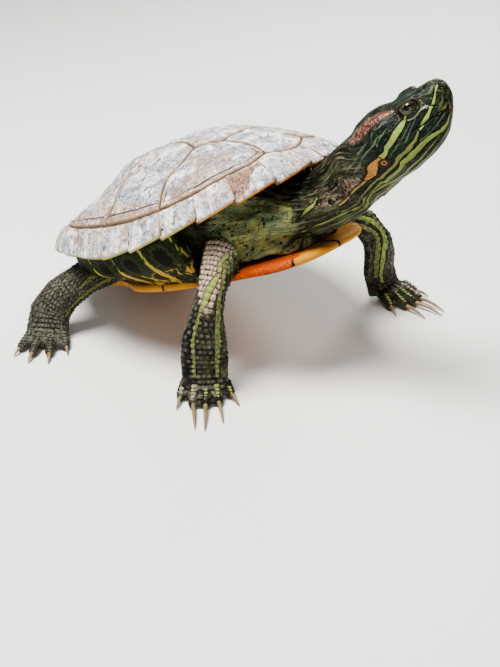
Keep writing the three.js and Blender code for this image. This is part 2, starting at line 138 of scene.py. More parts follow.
class MeshPile:
    # gathers many small meshes, with a float per point under each name, into one piece

    def __init__(self):
        self.verts, self.faces, self.data, self.count = [], [], {}, 0

    def add(self, verts, faces, **data):
        verts = np.asarray(verts, float)
        self.faces.extend(tuple(i + self.count for i in face) for face in faces)
        self.verts.append(verts)
        self.count += len(verts)
        for key, values in data.items():
            self.data.setdefault(key, []).append(np.broadcast_to(np.asarray(values, float), len(verts)))

    def build(self, name, material):
        data = {key: np.concatenate(values) for key, values in self.data.items()}
        return makeObject(name, place(np.concatenate(self.verts)), self.faces, material, data=data)


# Material helpers

class Surface:
    # a material, with short names for the nodes that it is made from and for its tints

    def __init__(self, name, roughness=0.5, gloss=0.5, tints=None, grains=None):
        self.tints, self.grains = tints or {}, grains or {}
        self.material = bpy.data.materials.new(name)
        self.material.use_nodes = True
        self.nodes = self.material.node_tree.nodes
        self.links = self.material.node_tree.links
        self.shader = self.nodes["Principled BSDF"]
        self.shader.inputs["Roughness"].default_value = roughness
        self.shader.inputs["Specular IOR Level"].default_value = gloss
        self.where = self.place()

    def node(self, kind, **settings):
        made = self.nodes.new(kind)
        for key, value in settings.items():
            setattr(made, key, value)
        return made

    def feed(self, socket, value):
        if isinstance(value, bpy.types.NodeSocket):
            self.links.new(value, socket)
        elif value is not None:
            socket.default_value = value

    def math(self, operation, a, b=None):
        made = self.node("ShaderNodeMath", operation=operation)
        self.feed(made.inputs[0], a)
        self.feed(made.inputs[1], b)
        return made.outputs[0]

    def times(self, a, b):
        return self.math("MULTIPLY", a, b)

    def plus(self, a, b):
        return self.math("ADD", a, b)

    def apart(self, a, b):
        # how far a is from b, whichever is larger
        return self.math("ABSOLUTE", self.math("SUBTRACT", a, b))

    def stray(self, noise, reach):
        # a noise as a shift to either side
        return self.times(self.math("SUBTRACT", noise, 0.5), reach)

    def read(self, name):
        return self.node("ShaderNodeAttribute", attribute_name=name).outputs["Fac"]

    def step(self, value, low, high):
        made = self.node("ShaderNodeMapRange", interpolation_type="SMOOTHSTEP")
        self.feed(made.inputs["Value"], value)
        made.inputs["From Min"].default_value = low
        made.inputs["From Max"].default_value = high
        return made.outputs["Result"]

    def mix(self, share, a, b):
        # colours are sockets, tuples or names of this surface's tints
        made = self.node("ShaderNodeMix", data_type="RGBA")
        self.feed(made.inputs["Factor"], share)
        for key, colour in (("A", a), ("B", b)):
            colour = self.tints.get(colour, colour) if isinstance(colour, str) else colour
            self.feed(made.inputs[key], (*colour, 1) if isinstance(colour, tuple) else colour)
        return made.outputs["Result"]

    def lay(self, under, over, share, strength=None):
        # one colour laid over another
        return self.mix(share if strength is None else self.times(share, strength), under, over)

    def place(self, scale=1000):
        # object coordinates in millimetres
        coords = self.node("ShaderNodeTexCoord")
        made = self.node("ShaderNodeVectorMath", operation="SCALE")
        self.links.new(coords.outputs["Object"], made.inputs[0])
        made.inputs["Scale"].default_value = scale
        return made.outputs[0]

    def join(self, x, y, z):
        made = self.node("ShaderNodeCombineXYZ")
        for socket, value in zip(made.inputs, (x, y, z)):
            self.feed(socket, value)
        return made.outputs[0]

    def noise(self, where, size, detail=3, roughness=0.55, distortion=0):
        made = self.node("ShaderNodeTexNoise")
        self.feed(made.inputs["Vector"], where)
        made.inputs["Scale"].default_value = 1 / size
        made.inputs["Detail"].default_value = detail
        made.inputs["Roughness"].default_value = roughness
        made.inputs["Distortion"].default_value = distortion
        return made.outputs["Fac"]

    def grain(self, name, where=None):
        # one of this surface's noises: size in millimetres, detail, roughness, distortion
        return self.noise(self.where if where is None else where, *self.grains[name])

    def cells(self, size):
        made = self.node("ShaderNodeTexVoronoi")
        self.links.new(self.where, made.inputs["Vector"])
        made.inputs["Scale"].default_value = 1 / size
        return made.outputs["Distance"]

    def relief(self, *layers):
        # bumps laid one over another, each a height and its depth in millimetres
        normal = None
        for height, depth in layers:
            made = self.node("ShaderNodeBump")
            self.feed(made.inputs["Height"], height)
            made.inputs["Strength"].default_value = 1
            made.inputs["Distance"].default_value = depth * mm
            if normal is not None:
                self.links.new(normal, made.inputs["Normal"])
            normal = made.outputs["Normal"]
        return normal

    def finish(self, colour, normal=None, roughness=None):
        self.feed(self.shader.inputs["Base Color"], colour)
        if normal is not None:
            self.links.new(normal, self.shader.inputs["Normal"])
        self.feed(self.shader.inputs["Roughness"], roughness)
        return self.material


# Camera, light and floor

view = {
    "from": (354.475, -362.877, 303.888),
    "at": (27.244, -4.513, 2.996),
    "lens": 53.97,
}


def setCamera():
    data = bpy.data.cameras.new("camera")
    data.sensor_fit = "VERTICAL"
    data.sensor_height = 36
    data.lens = view["lens"]
    camera = bpy.data.objects.new("camera", data)
    bpy.context.scene.collection.objects.link(camera)
    start, end = Vector(place(view["from"])), Vector(place(view["at"]))
    camera.location = start
    camera.rotation_euler = (end - start).to_track_quat("-Z", "Y").to_euler()
    data.clip_start = 0.01
    bpy.context.scene.camera = camera


# lamps in metres and watts
studio = {
    "key": {"at": (-0.1, -0.25, 0.95), "size": 0.4, "power": 21},
    "fill": {"at": (0.75, -0.55, 0.45), "size": 0.8, "power": 2.8},
    "back": {"at": (-0.3, 0.8, 0.6), "size": 0.5, "power": 6},
    "world": 0.29, "sky": (0.93, 0.96, 1, 1), "aim": (0, 0, 0.06),
    "look": "AgX - Medium High Contrast",
    "floor": (0.78, 0.77, 0.74), "floorReach": 4,
}


def setLights():
    for name in ("key", "fill", "back"):
        spec = studio[name]
        data = bpy.data.lights.new(name, "AREA")
        data.size = spec["size"]
        data.energy = spec["power"]
        lamp = bpy.data.objects.new(name, data)
        lamp.location = spec["at"]
        lamp.rotation_euler = (Vector(studio["aim"]) - lamp.location).to_track_quat("-Z", "Y").to_euler()
        bpy.context.scene.collection.objects.link(lamp)
    world = bpy.data.worlds.new("sky")
    bpy.context.scene.world = world
    world.use_nodes = True
    world.node_tree.nodes["Background"].inputs["Color"].default_value = studio["sky"]
    world.node_tree.nodes["Background"].inputs["Strength"].default_value = studio["world"]
    bpy.context.scene.view_settings.look = studio["look"]


def setFloor():
    paint = Surface("floorPaint", 0.85, grains={"floor": (40,)})
    shade = tuple(c * 0.97 for c in studio["floor"])
    tint = paint.mix(paint.grain("floor"), studio["floor"], shade)
    bpy.ops.mesh.primitive_circle_add(vertices=96, radius=studio["floorReach"], fill_type="NGON")
    floor = bpy.context.object
    floor.name = "floor"
    floor.data.materials.append(paint.finish(tint))


setCamera()
setLights()
setFloor()
print("camera, lights and floor are set")


# The shell's form

domeShares = np.array([0, 0.2, 0.4, 0.6, 0.75, 0.87, 0.94, 1])
domeHeights = {
    "side": np.array([1, 0.96, 0.915, 0.74, 0.59, 0.41, 0.24, 0]),
    "front": np.array([1, 0.96, 0.83, 0.62, 0.44, 0.25, 0.14, 0]),
    "rear": np.array([1, 0.935, 0.84, 0.47, 0.3, 0.19, 0.15, 0]),
}


def smoothTable(values, share):
    last = len(values) - 1
    i = np.clip(np.searchsorted(domeShares, share, "right") - 1, 0, last - 1)
    t = (share - domeShares[i]) / (domeShares[i + 1] - domeShares[i])
    a, b, c, d = values[np.maximum(i - 1, 0)], values[i], values[i + 1], values[np.minimum(i + 2, last)]
    v, w = (c - a) / 2, (d - b) / 2
    return (2 * b - 2 * c + v + w) * t ** 3 + (-3 * b + 3 * c - 2 * v - w) * t ** 2 + v * t + b


def rim(angle):
    c, s = np.cos(angle), np.sin(angle)
    rise = (shell["frontRim"] - shell["sideRim"]) * np.maximum(c, 0) ** 1.6
    rear = np.maximum(-c, 0)
    rise = rise + (shell["rearRim"] - shell["sideRim"]) * rear ** 2 + shell["hipRise"] * rear * s * s
    y = shell["width"] / 2 * signedPower(s, 0.88) * (1 - 0.06 * c)
    return np.stack([shell["length"] / 2 * c - shell["widestBack"] * s * s, y, shell["sideRim"] + rise], -1)


def dome(share, angle, drop=0):
    share, angle = np.broadcast_arrays(np.asarray(share, float), np.asarray(angle, float))
    edge = rim(angle)
    front = np.maximum(np.cos(angle), 0) ** 1.2
    rear = np.maximum(-np.cos(angle), 0)
    parts = {"front": front, "rear": rear, "side": 1 - front - rear}
    height = sum(part * smoothTable(domeHeights[key], share) for key, part in parts.items())
    crown = shell["crownAhead"]
    z = edge[..., 2] + (shell["height"] - edge[..., 2]) * height - drop
    return np.stack([crown + share * (edge[..., 0] - crown), share * edge[..., 1], z], -1)


fineAngles = np.linspace(-math.pi, math.pi, 2881)
fineRim = rim(fineAngles)
fineBearings = np.unwrap(np.arctan2(fineRim[:, 1], fineRim[:, 0] - shell["crownAhead"]))


def planToDome(plan):
    # share and angle of the point of the dome over a point of the plan
    x, y = plan[..., 0] - shell["crownAhead"], plan[..., 1]
    angle = np.interp(np.arctan2(y, x), fineBearings, fineAngles)
    edge = rim(angle)
    reach = np.hypot(edge[..., 0] - shell["crownAhead"], edge[..., 1])
    return np.clip(np.hypot(x, y) / reach, 0, 1), angle


def domeOnPlan(plan, raised):
    share, angle = planToDome(plan)
    e = 0.01
    low, high = np.clip(share - e, 0.002, 1), np.clip(share + e, 0.002, 1)
    along = dome(high, angle) - dome(low, angle)
    inside = np.maximum(share, 0.02)
    normal = np.cross(along, dome(inside, angle + e) - dome(inside, angle - e))
    normal *= np.sign(normal[..., 2:3])
    normal /= np.linalg.norm(normal, axis=-1, keepdims=True)
    return dome(share, angle) + normal * np.asarray(raised)[..., None]


# Scutes

scutes = {
    "seam": 0.4, "thick": 1.5,            # half width of the gap between two scutes
    "ringStep": 0.55, "edgeStep": 1.05,   # spacing of a scute's rings, and of the points along its edge
    "growth": (1.1, 2.6), "first": 3.1,   # spacing of the growth lines, how far in the outermost lies
    "domed": 0.55,                        # how far the middle of a scute stands up
    "band": 3.2,                          # width of the raised band along the costals' lower edge
    "perSide": 12, "nuchalWidth": 9,      # marginals on each side, and the narrow scute over the neck
    "seeds": {"nuchal": 900, "left": 200, "right": 300},
    "rimAcross": 30, "rimGap": 0.3 / 72,  # points across a marginal, and the gap to the next in radians
    "rimGrowth": (1.6, 8.5),              # where the marginals' growth lines lie
    # notches between marginals, how far a front one steps out past the next, and how far it droops
    "notchFront": 0.3, "notchRear": 1.9, "stepFront": 1.5, "droop": 1.9,
    # the marginals' edge: share of the way out, drop below the rim, how far it counts as underside
    "lip": [(1.003, 0.5, 0.2), (1.004, 1.3, 0.5), (0.998, 2.2, 0.85), (0.985, 2.7, 1), (0.95, 2.75, 1),
            (0.91, 2.6, 1), (0.86, 2.4, 1)],
    "lipBack": [(0.86, 1.2), (0.93, 1.3), (0.97, 1.1)],
    "boneRim": [(0.975, 1.6), (0.96, 2.2), (0.9, 2.1), (0.85, 2.2)],
}

# Inner edge of the marginals: angle from the nose in degrees, share of the way out.
innerEdge = np.array([(0, 0.845), (6, 0.82), (12.6, 0.785), (23, 0.825), (35, 0.84), (50, 0.885),
                      (62, 0.905), (75, 0.915), (90, 0.912), (110, 0.9), (130, 0.87), (150, 0.845),
                      (165, 0.83), (180, 0.82)])


def innerShare(angle):
    return np.interp(np.abs(np.degrees(angle)), innerEdge[:, 0], innerEdge[:, 1])


def innerLine(start, end):
    # the marginals' inner edge on the right side, between two angles in degrees
    count = max(3, int(abs(end - start) / 1.5))
    angle = -np.radians(np.linspace(start, end, count))
    return dome(innerShare(angle), angle)[:, :2].tolist()


# Seams of the right side in plan, each from the midline or from the vertebrals outwards.
seams = {
    "v1Side": [[75, -14], [67, -11.6], [57, -11], [46.5, -12.6]],
    "v2Front": [[46.5, -12.6], [41, -15.5], [34, -22]],
    "v2Rear": [[34, -22], [24, -17.2], [11, -12.6]],
    "v3Front": [[11, -12.6], [5, -16.5], [-2, -23]],
    "v3Rear": [[-2, -23], [-12, -17.4], [-25, -12.5]],
    "v4Front": [[-25, -12.5], [-30, -16], [-36, -21.5]],
    "v4Rear": [[-36, -21.5], [-45, -16.2], [-56, -11.5]],
    "v5Front": [[-56, -11.5], [-60, -14.5], [-64, -20]],
    "c1Rear": [[34, -22], [33.7, -32.7], [31.6, -40.6], [31.8, -46], [33.8, -53]],
    "c2Rear": [[-2, -23], [-3.4, -34], [-3, -46], [0.5, -57]],
    "c3Rear": [[-36, -21.5], [-38.6, -32], [-38.5, -42], [-36.4, -52]],
    "c4Rear": [[-64, -20], [-67, -25], [-69.5, -31]],
}
costalEnds = [12.6, 62.7, 87.5, 113, 149]  # angles where the costals' seams meet the marginals


def smoothLine(points, closed=False, step=1.0):
    points = np.asarray(points, float)
    out = []
    n = len(points)
    for i in range(n if closed else n - 1):
        a, b = points[(i - 1) % n if closed or i else 0], points[i]
        c, d = points[(i + 1) % n], points[(i + 2) % n if closed or i + 2 < n else n - 1]
        count = max(2, int(np.linalg.norm(c - b) / step))
        t = (np.arange(count) / count)[:, None]
        out.append(0.5 * (2 * b + (c - a) * t + (2 * a - 5 * b + 4 * c - d) * t ** 2
                          + (3 * b - a - 3 * c + d) * t ** 3))
    if not closed:
        out.append(points[-1:])
    return np.concatenate(out)


def seamLine(name, end=None):
    points = list(seams[name])
    if end is not None:
        points = points + [innerLine(end, end + 0.1)[0]]
    return smoothLine(points).tolist()


def mirrored(points):
    return [[x, -y] for x, y in points]


def evenly(points, step=1, count=None):
    # the same closed outline with evenly spaced points, and how far along it each one lies
    loop = np.vstack([points, points[:1]])
    reach = wayAlong(loop)
    at = np.linspace(0, reach[-1], count or max(24, int(reach[-1] / step)), endpoint=False)
    return np.stack([np.interp(at, reach, loop[:, k]) for k in (0, 1)], -1), at


def scuteHeight(plan, inset, depth, mean, steps, number, nearRim):
    # how far one ring of a scute stands over the dome
    wander = wobble(plan, 14, number) * 0.25
    height = -0.85 * (1 - smoothStep(inset, 0, 1.0)) ** 2
    for k, step in enumerate(steps):
        groove = np.exp(-((depth + wander - step) / 0.26) ** 2)
        height = height - (0.2 if k else 0.3) * groove * 0.93 ** k
    height = height + scutes["domed"] * (1 - (1 - depth / mean) ** 2)
    height = height + 0.2 * wobble(plan, 9, number + 9) + 0.1 * wobble(plan, 3.4, number + 5)
    inBand = smoothStep(inset, scutes["band"] + 0.5, scutes["band"] - 0.1)
    return height + nearRim * (0.3 * inBand - 0.5 * np.exp(-((inset - scutes["band"]) / 0.4) ** 2))


def scutePlate(pile, outline, centre, number, outer=0.0):
    # one scute: rings shrink from its outline to its centre, with growth lines as shallow grooves
    edge, along = evenly(np.array(outline, float), scutes["edgeStep"])
    centre = np.array(centre, float)
    ahead = np.roll(edge, -1, 0) - np.roll(edge, 1, 0)
    inward = np.stack([-ahead[:, 1], ahead[:, 0]], -1)
    inward /= np.linalg.norm(inward, axis=1, keepdims=True) + 1e-9
    inward *= np.sign(np.mean(np.sum(inward * (centre - edge), 1)))
    edge = edge + inward * scutes["seam"]
    reach = np.linalg.norm(centre - edge, axis=1)
    mean = reach.mean()
    depths = np.concatenate([[0, 0.12, 0.3, 0.55, 0.85], np.arange(1.3, mean - 0.5, scutes["ringStep"])])
    draw = np.random.default_rng(number + 40)
    steps = np.cumsum(draw.uniform(*scutes["growth"], 14)) + 1.2
    steps[0] = scutes["first"]
    rings, heights, edges, alongs, strips = [], [], [], [], []
    for depth in depths:
        plan = edge + (centre - edge) * (depth / mean)
        inset = depth / mean * reach
        at, angle = planToDome(plan)
        nearRim = outer * smoothStep(at - innerShare(angle), -0.13, -0.09)
        strips.append(nearRim)
        rings.append(plan)
        heights.append(scuteHeight(plan, inset, depth, mean, steps, number, nearRim))
        edges.append(inset)
        alongs.append(along)
    rings.append(centre[None, :])
    heights.append(np.array([heights[-1].mean()]))
    edges.append(np.array([mean]))
    alongs.append(np.array([0.0]))
    top = domeOnPlan(np.concatenate(rings), np.concatenate(heights))
    n = len(edge)
    below = domeOnPlan(edge, np.full(n, -scutes["thick"]))
    belowCentre = domeOnPlan(centre[None, :], np.array([-scutes["thick"]]))
    last = len(depths)
    faces = stackFaces(last, n)
    tip = last * n
    faces += [((last - 1) * n + j, (last - 1) * n + (j + 1) % n, tip) for j in range(n)]
    low = tip + 1
    faces += [(low + j, low + (j + 1) % n, (j + 1) % n, j) for j in range(n)]
    faces += [(low + (j + 1) % n, low + j, low + n) for j in range(n)]
    verts = shellToTurtle(np.concatenate([top, below, belowCentre]))
    if np.cross(edge[1] - edge[0], centre - edge[0]) < 0:
        faces = [face[::-1] for face in faces]
    pad = np.zeros(n + 1)
    pile.add(verts, faces, edge=np.concatenate([*edges, pad]), along=np.concatenate([*alongs, pad]),
             scute=draw.uniform(), strip=np.concatenate([*strips, [0], pad]), worn=0, under=0)


def buildScutes(pile):
    number = 0
    sides = ["v1Side"], ["v2Front", "v2Rear"], ["v3Front", "v3Rear"], ["v4Front", "v4Rear"], ["v5Front"]
    for k, names in enumerate(sides):
        right = [point for name in names for point in seamLine(name)[:-1]]
        right.append(seams[names[-1]][-1])
        if k == 0:
            front = innerLine(0, 12.6)[:-1]
            outline = front + right + mirrored((front[1:] + right)[::-1])
        elif k == 4:
            rear = seamLine("c4Rear", costalEnds[4])[1:-1] + innerLine(costalEnds[4], 180)
            outline = right + rear + mirrored((right + rear[:-1])[::-1])
        else:
            outline = right + mirrored(right[::-1])
        xs = [x for x, _ in outline]
        centre = [min(xs) + 0.42 * (max(xs) - min(xs)), 0]
        scutePlate(pile, outline, centre, number)
        number += 1
    costals = [
        (["v1Side", "v2Front"], None, "c1Rear"), (["v2Rear", "v3Front"], "c1Rear", "c2Rear"),
        (["v3Rear", "v4Front"], "c2Rear", "c3Rear"), (["v4Rear", "v5Front"], "c3Rear", "c4Rear"),
    ]
    for k, (inner, front, rear) in enumerate(costals):
        outline = [point for name in inner for point in seamLine(name)[:-1]]
        outline += seamLine(rear, costalEnds[k + 1])[:-1]
        outline += innerLine(costalEnds[k + 1], costalEnds[k])[:-1]
        outline += seamLine(front, costalEnds[k])[::-1][:-1] if front else []
        outline = np.array(outline)
        middle = outline.mean(0)
        centre = middle * [1, 0.94] - [1.5, 0]
        for side in (1, -1):
            scutePlate(pile, outline * [1, side], centre * [1, side], number, outer=1.0)
            number += 1


def rimSeams():
    # angles of the seams between the marginals, from the nuchal scute to the tail
    angle = np.linspace(0, math.pi, 4001)
    reach = wayAlong(rim(angle))
    step = (reach[-1] - scutes["nuchalWidth"] / 2) / scutes["perSide"]
    at = scutes["nuchalWidth"] / 2 + step * np.arange(scutes["perSide"] + 1)
    return np.interp(at, reach, angle)


def rimRow(edge, share, drop):
    # the rim drawn in to a share of the way out and lowered
    return np.column_stack([edge[:, :2] * share, edge[:, 2] - drop])


def marginalPlate(pile, start, end, number, damaged=False):
    # a marginal scute wraps from its inner seam over the rim to the underside
    across = scutes["rimAcross"]
    angle = np.linspace(start + scutes["rimGap"], end - scutes["rimGap"], across)
    u = np.linspace(0, 1, across)
    width = np.linalg.norm(rim(end) - rim(start))
    fromSide = np.minimum(u, 1 - u) * width
    back = (1 - np.cos((start + end) / 2)) / 2
    notch = scutes["notchFront"] + (scutes["notchRear"] - scutes["notchFront"]) * back ** 2
    nick = notch * (1 - smoothStep(fromSide, 0, width * 0.42)) ** 1.5
    # in front each plate's rear corner stands out past the next plate
    overlap = (u - 0.5) * (number != scutes["seeds"]["nuchal"]) * (1 - smoothStep(back, 0.3, 0.6))
    nick = nick - scutes["stepFront"] * overlap
    inner = innerShare(angle)
    edge = rim(angle)
    reach = np.hypot(edge[:, 0], edge[:, 1])
    out = (1 - nick / reach)[:, None]
    rows, froms, unders = [], [], []
    top = np.concatenate([[0, 0.02, 0.05, 0.1], np.linspace(0.16, 0.96, 15)])
    draw = np.random.default_rng(number + 90)
    steps = np.sort(draw.uniform(*scutes["rimGrowth"], 4))
    for t in top:
        share = inner + (1 - inner) * t
        depth = t * (1 - inner) * reach * 1.25
        near = np.minimum(depth + 0.001, fromSide)
        height = -0.8 * (1 - smoothStep(near, 0, 0.9)) ** 2 + 0.3 * smoothStep(near, 0.3, 3.5)
        height = height + 0.5 * overlap * t
        for step in steps:
            height = height - 0.12 * np.exp(-((near - step * 0.7) / 0.25) ** 2)
        plan = dome(share, angle)[:, :2] * (1 - (nick / reach)[:, None] * t ** 3)
        height = height + (0.14 + 0.16 * back) * wobble(plan, 5.5, number)
        height = height + 0.08 * wobble(plan, 2.4, number + 3)
        height = height - scutes["droop"] * overlap * t ** 2
        if damaged:
            hole = damageMask(t, u)
            pits = np.maximum(wobble(plan, 1.7, 5), 0) + np.maximum(wobble(plan, 0.9, 6), 0)
            height = np.maximum(height - hole * (0.75 + 0.45 * pits), -0.6 + 0.15 * pits - 1.5 * (1 - hole))
        rows.append(domeOnPlan(plan, height))
        froms.append(near)
        unders.append(np.zeros(across))
    for share, drop, under in scutes["lip"]:
        drop = drop - 0.35 * (1 - smoothStep(fromSide, 0, 0.6)) * under
        rows.append(rimRow(edge, share * out, drop + scutes["droop"] * overlap * (share > 0.97)))
        froms.append(fromSide)
        unders.append(np.full(across, under))
    grid = np.concatenate(rows)
    count = len(rows)
    faces = stackFaces(count, across, closed=False)
    # close the back of the plate a little way inside the shell
    backRows = [rimRow(edge, share * out, drop) for share, drop in scutes["lipBack"]]
    backRows.append(domeOnPlan(dome(inner, angle)[:, :2], np.full(across, -1.4)))
    total = count + len(backRows)
    behind = stackFaces(len(backRows) + 1, across, closed=False)
    faces += [tuple(i + (count - 1) * across for i in face) for face in behind]
    faces += [((total - 1) * across + j, (total - 1) * across + j + 1, j + 1, j) for j in range(across - 1)]
    faces.append(tuple(i * across for i in range(total)))
    faces.append(tuple(i * across + across - 1 for i in range(total))[::-1])
    verts = shellToTurtle(np.concatenate([grid, *backRows]))
    pad = np.zeros(across * len(backRows))
    worn = np.zeros(len(verts))
    if damaged:
        worn[:len(top) * across] = np.concatenate([damageMask(t, u) for t in top])
    pile.add(verts, [face[::-1] for face in faces] if start >= 0 else faces,
             edge=np.concatenate([*froms, pad]), along=np.concatenate([np.tile(u * width, count), pad]),
             scute=draw.uniform(), strip=0, worn=worn, under=np.concatenate([*unders, pad + 1]))


def damageMask(t, u):
    # the worn scute has lost its horn on its inner and rear part
    line = 0.3 + 0.72 * smoothStep(u, 0.18, 0.85) + 0.05 * np.sin(u * 23) + 0.03 * np.sin(u * 51)
    return smoothStep(line - t, -0.02, 0.05) * smoothStep(t, 0.05, 0.09) * smoothStep(u, 0.02, 0.05)


def buildMarginals(pile):
    angles = rimSeams()
    seeds = scutes["seeds"]
    marginalPlate(pile, -angles[0], angles[0], seeds["nuchal"])
    for k in range(scutes["perSide"]):
        marginalPlate(pile, angles[k], angles[k + 1], seeds["left"] + k)
        marginalPlate(pile, -angles[k], -angles[k + 1], seeds["right"] + k, damaged=k == 1)


def loftShell(rings):
    # a closed solid through rings of points, with a point in the middle of each end
    n, tip = len(rings[0]), len(rings) * len(rings[0])
    faces = stackFaces(len(rings), n)
    faces += [(tip, (j + 1) % n, j) for j in range(n)]
    faces += [(tip + 1, tip - n + j, tip - n + (j + 1) % n) for j in range(n)]
    return np.vstack([*rings, rings[0].mean(0), rings[-1].mean(0)]), faces


def buildShellBase(material):
    # the bony shell that the scutes lie on
    n = 180
    angle = np.linspace(0, 2 * math.pi, n, endpoint=False)
    rings = [dome(s, angle, 0.9) for s in np.linspace(0.04, 0.98, 30)]
    rings += [rimRow(rim(angle), share, drop) for share, drop in scutes["boneRim"]]
    rings += [dome(s, angle, shell["lid"]) for s in (0.8, 0.6, 0.4, 0.2, 0.05)]
    verts, faces = loftShell(rings)
    return makeObject("carapaceBone", place(shellToTurtle(verts)), faces, material)


# Horn of the carapace

hornTints = {
    "grey": (0.10, 0.11, 0.125), "blue": (0.34, 0.37, 0.41), "pale": (0.94, 0.915, 0.85),
    "pink": (0.27, 0.17, 0.125), "dark": (0.028, 0.021, 0.016), "brown": (0.13, 0.075, 0.045),
    "tan": (0.44, 0.29, 0.11),
    "raw": (0.36, 0.22, 0.14), "rimFront": (0.62, 0.21, 0.03), "rimRear": (0.35, 0.37, 0.09),
    "underDark": (0.012, 0.016, 0.008), "lipPale": (0.60, 0.42, 0.10),
}


hornGrain = {
    "stain": (17, 4, 0.6), "broad": (11, 3, 0.6, 0.5), "middle": (4.4, 6, 0.74, 0.9), "fine": (1.7, 5, 0.75),
    "pits": (1.1, 3, 0.7), "lines": (1.0, 4, 0.65), "wrinkles": (1.0, 3, 0.6, 0.8), "combed": (13, 2),
    "border": (5, 3), "lip": (3, 3), "bars": (4, 2),
}


def hornMaterial():
    s = Surface("weatheredHorn", 0.5, 0.35, hornTints, hornGrain)
    edge, along, scute = s.read("edge"), s.read("along"), s.read("scute")
    ahead = s.node("ShaderNodeSeparateXYZ")
    s.links.new(s.where, ahead.inputs[0])
    strip = s.read("strip")
    stained = s.plus(s.times(strip, 0.07), s.times(s.step(ahead.outputs["X"], 10, -70), 0.02))
    coarse = s.plus(s.grain("stain"), stained)
    middle = s.grain("middle")
    fine = s.grain("fine")
    ringWay = s.join(s.times(edge, 1.5), s.times(along, 0.13), s.times(scute, 90))
    lines = s.grain("lines", ringWay)
    crossWay = s.join(s.times(edge, 0.13), s.times(along, 0.85), s.times(scute, 50))
    wrinkles = s.grain("wrinkles", crossWay)
    broad = s.grain("broad")
    pale = s.mix(s.step(broad, 0.42, 0.6), "blue", "pale")
    tint = s.mix(s.step(middle, 0.38, 0.56), "grey", pale)
    stain = s.times(s.step(coarse, 0.5, 0.62), 0.7)
    tint = s.lay(tint, s.mix(s.step(fine, 0.4, 0.6), "pink", "raw"), stain)
    tint = s.lay(tint, "pale", s.step(fine, 0.5, 0.68), 0.8)
    tint = s.lay(tint, "pale", s.step(lines, 0.56, 0.68), 0.55)
    tint = s.lay(tint, "brown", s.step(lines, 0.43, 0.33), 0.7)
    combed = s.times(s.step(wrinkles, 0.54, 0.63), s.step(s.grain("combed"), 0.4, 0.55))
    tint = s.lay(tint, "brown", combed, 0.6)
    tint = s.lay(tint, "dark", s.step(fine, 0.36, 0.26), 0.7)
    # raised band over the costals' lower edge, with a dark line above it
    band = s.times(strip, s.step(edge, scutes["band"] + 0.3, scutes["band"] - 0.3))
    tint = s.lay(tint, "pink", s.times(band, s.step(fine, 0.62, 0.42)))
    offLine = s.apart(edge, scutes["band"] + 0.1)
    tint = s.lay(tint, "dark", s.times(strip, s.step(offLine, 0.65, 0.2)))
    # tan borders and dark seams
    rough = s.plus(edge, s.stray(s.grain("border"), 3.5))
    tint = s.lay(tint, "tan", s.step(rough, 1.5, 0.4), 0.6)
    tint = s.lay(tint, "brown", s.step(edge, 0.75, 0.25), 0.7)
    pits = s.grain("pits")
    raw = s.mix(s.step(pits, 0.42, 0.6), "brown", "raw")
    raw = s.lay(raw, "dark", s.step(pits, 0.41, 0.36))
    tint = s.lay(tint, raw, s.read("worn"))
    # the rim's edge is orange in front and greenish yellow behind, its underside dark with yellow bars
    lipTint = s.mix(s.step(ahead.outputs["X"], 5, 45), "rimRear", "rimFront")
    lipTint = s.lay(lipTint, "lipPale", s.step(middle, 0.5, 0.6), 0.55)
    under = s.read("under")
    ragged = s.plus(under, s.times(s.grain("lip"), 0.3))
    lipTint = s.lay(lipTint, "brown", s.step(rough, 1.4, 0.6))
    tint = s.lay(tint, lipTint, s.step(ragged, 0.45, 0.7))
    barred = s.plus(edge, s.times(s.grain("bars"), 2.4))
    below = s.mix(s.step(barred, 1.9, 2.6), lipTint, "underDark")
    tint = s.lay(tint, below, s.step(under, 0.8, 0.98))
    grain = s.plus(s.times(lines, 0.9), s.times(fine, 1.2))
    normal = s.relief((grain, 0.42), (wrinkles, 0.4), (pits, 0.16))
    return s.finish(tint, normal, s.plus(s.times(fine, 0.35), 0.32))


boneTints = {"dark": (0.028, 0.021, 0.016), "light": (0.125, 0.092, 0.066)}
boneGrain = {"coarse": (6, 3), "fine": (1.2, 2)}


def boneMaterial():
    s = Surface("seamHorn", 0.7, 0.2, boneTints, boneGrain)
    tint = s.mix(s.grain("coarse"), "dark", "light")
    return s.finish(tint, s.relief((s.grain("fine"), 0.1)))


horn = hornMaterial()
platePile = MeshPile()
buildScutes(platePile)
carapaceScutes = platePile.build("carapaceScutes", horn)
marginPile = MeshPile()
buildMarginals(marginPile)
marginalScutes = marginPile.build("marginalScutes", horn)
carapaceBone = buildShellBase(boneMaterial())
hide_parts("carapace")


# Plastron and bridges

plastron = {
    "half": [[93, 0], [92, 13], [88, 24], [78, 33], [61, 39], [44, 44], [24, 49], [2, 50.5], [-20, 48],
             [-37, 40], [-50, 36], [-64, 35], [-76, 28], [-84, 17], [-87, 8], [-82, 0]],
    # rings of the plate's rounded edge: share of the way out, height
    "profile": [(0.955, 4.7), (0.985, 4.2), (1.0, 3.0), (1.0, 1.8), (0.99, 0.7), (0.965, 0.12)],
    "thick": 5.0,
    "bridgeFront": 40, "bridgeRear": -40, "bridgeOut": 43, "bridgeBulge": 3, "bridgeRise": 9,
}


def plastronLift(x):
    front = 0.6 * np.maximum(0, (x - 45) / 46) ** 1.6
    return front + 5 * np.maximum(0, (-x - 35) / 52) ** 1.6


plastronTints = {
    "yellow": (0.46, 0.20, 0.025), "orange": (0.36, 0.052, 0.012), "dark": (0.006, 0.005, 0.003),
    "straw": (0.46, 0.22, 0.028), "stripe": (0.28, 0.28, 0.05), "patch": (0.38, 0.23, 0.035),
    "bridge": (0.006, 0.009, 0.004), "bridgeOlive": (0.030, 0.040, 0.010),
}
plastronSeams = [(70, 87), (38, 46), (8, 8), (-30, -34), (-56, -64)]  # on the midline, at the edge


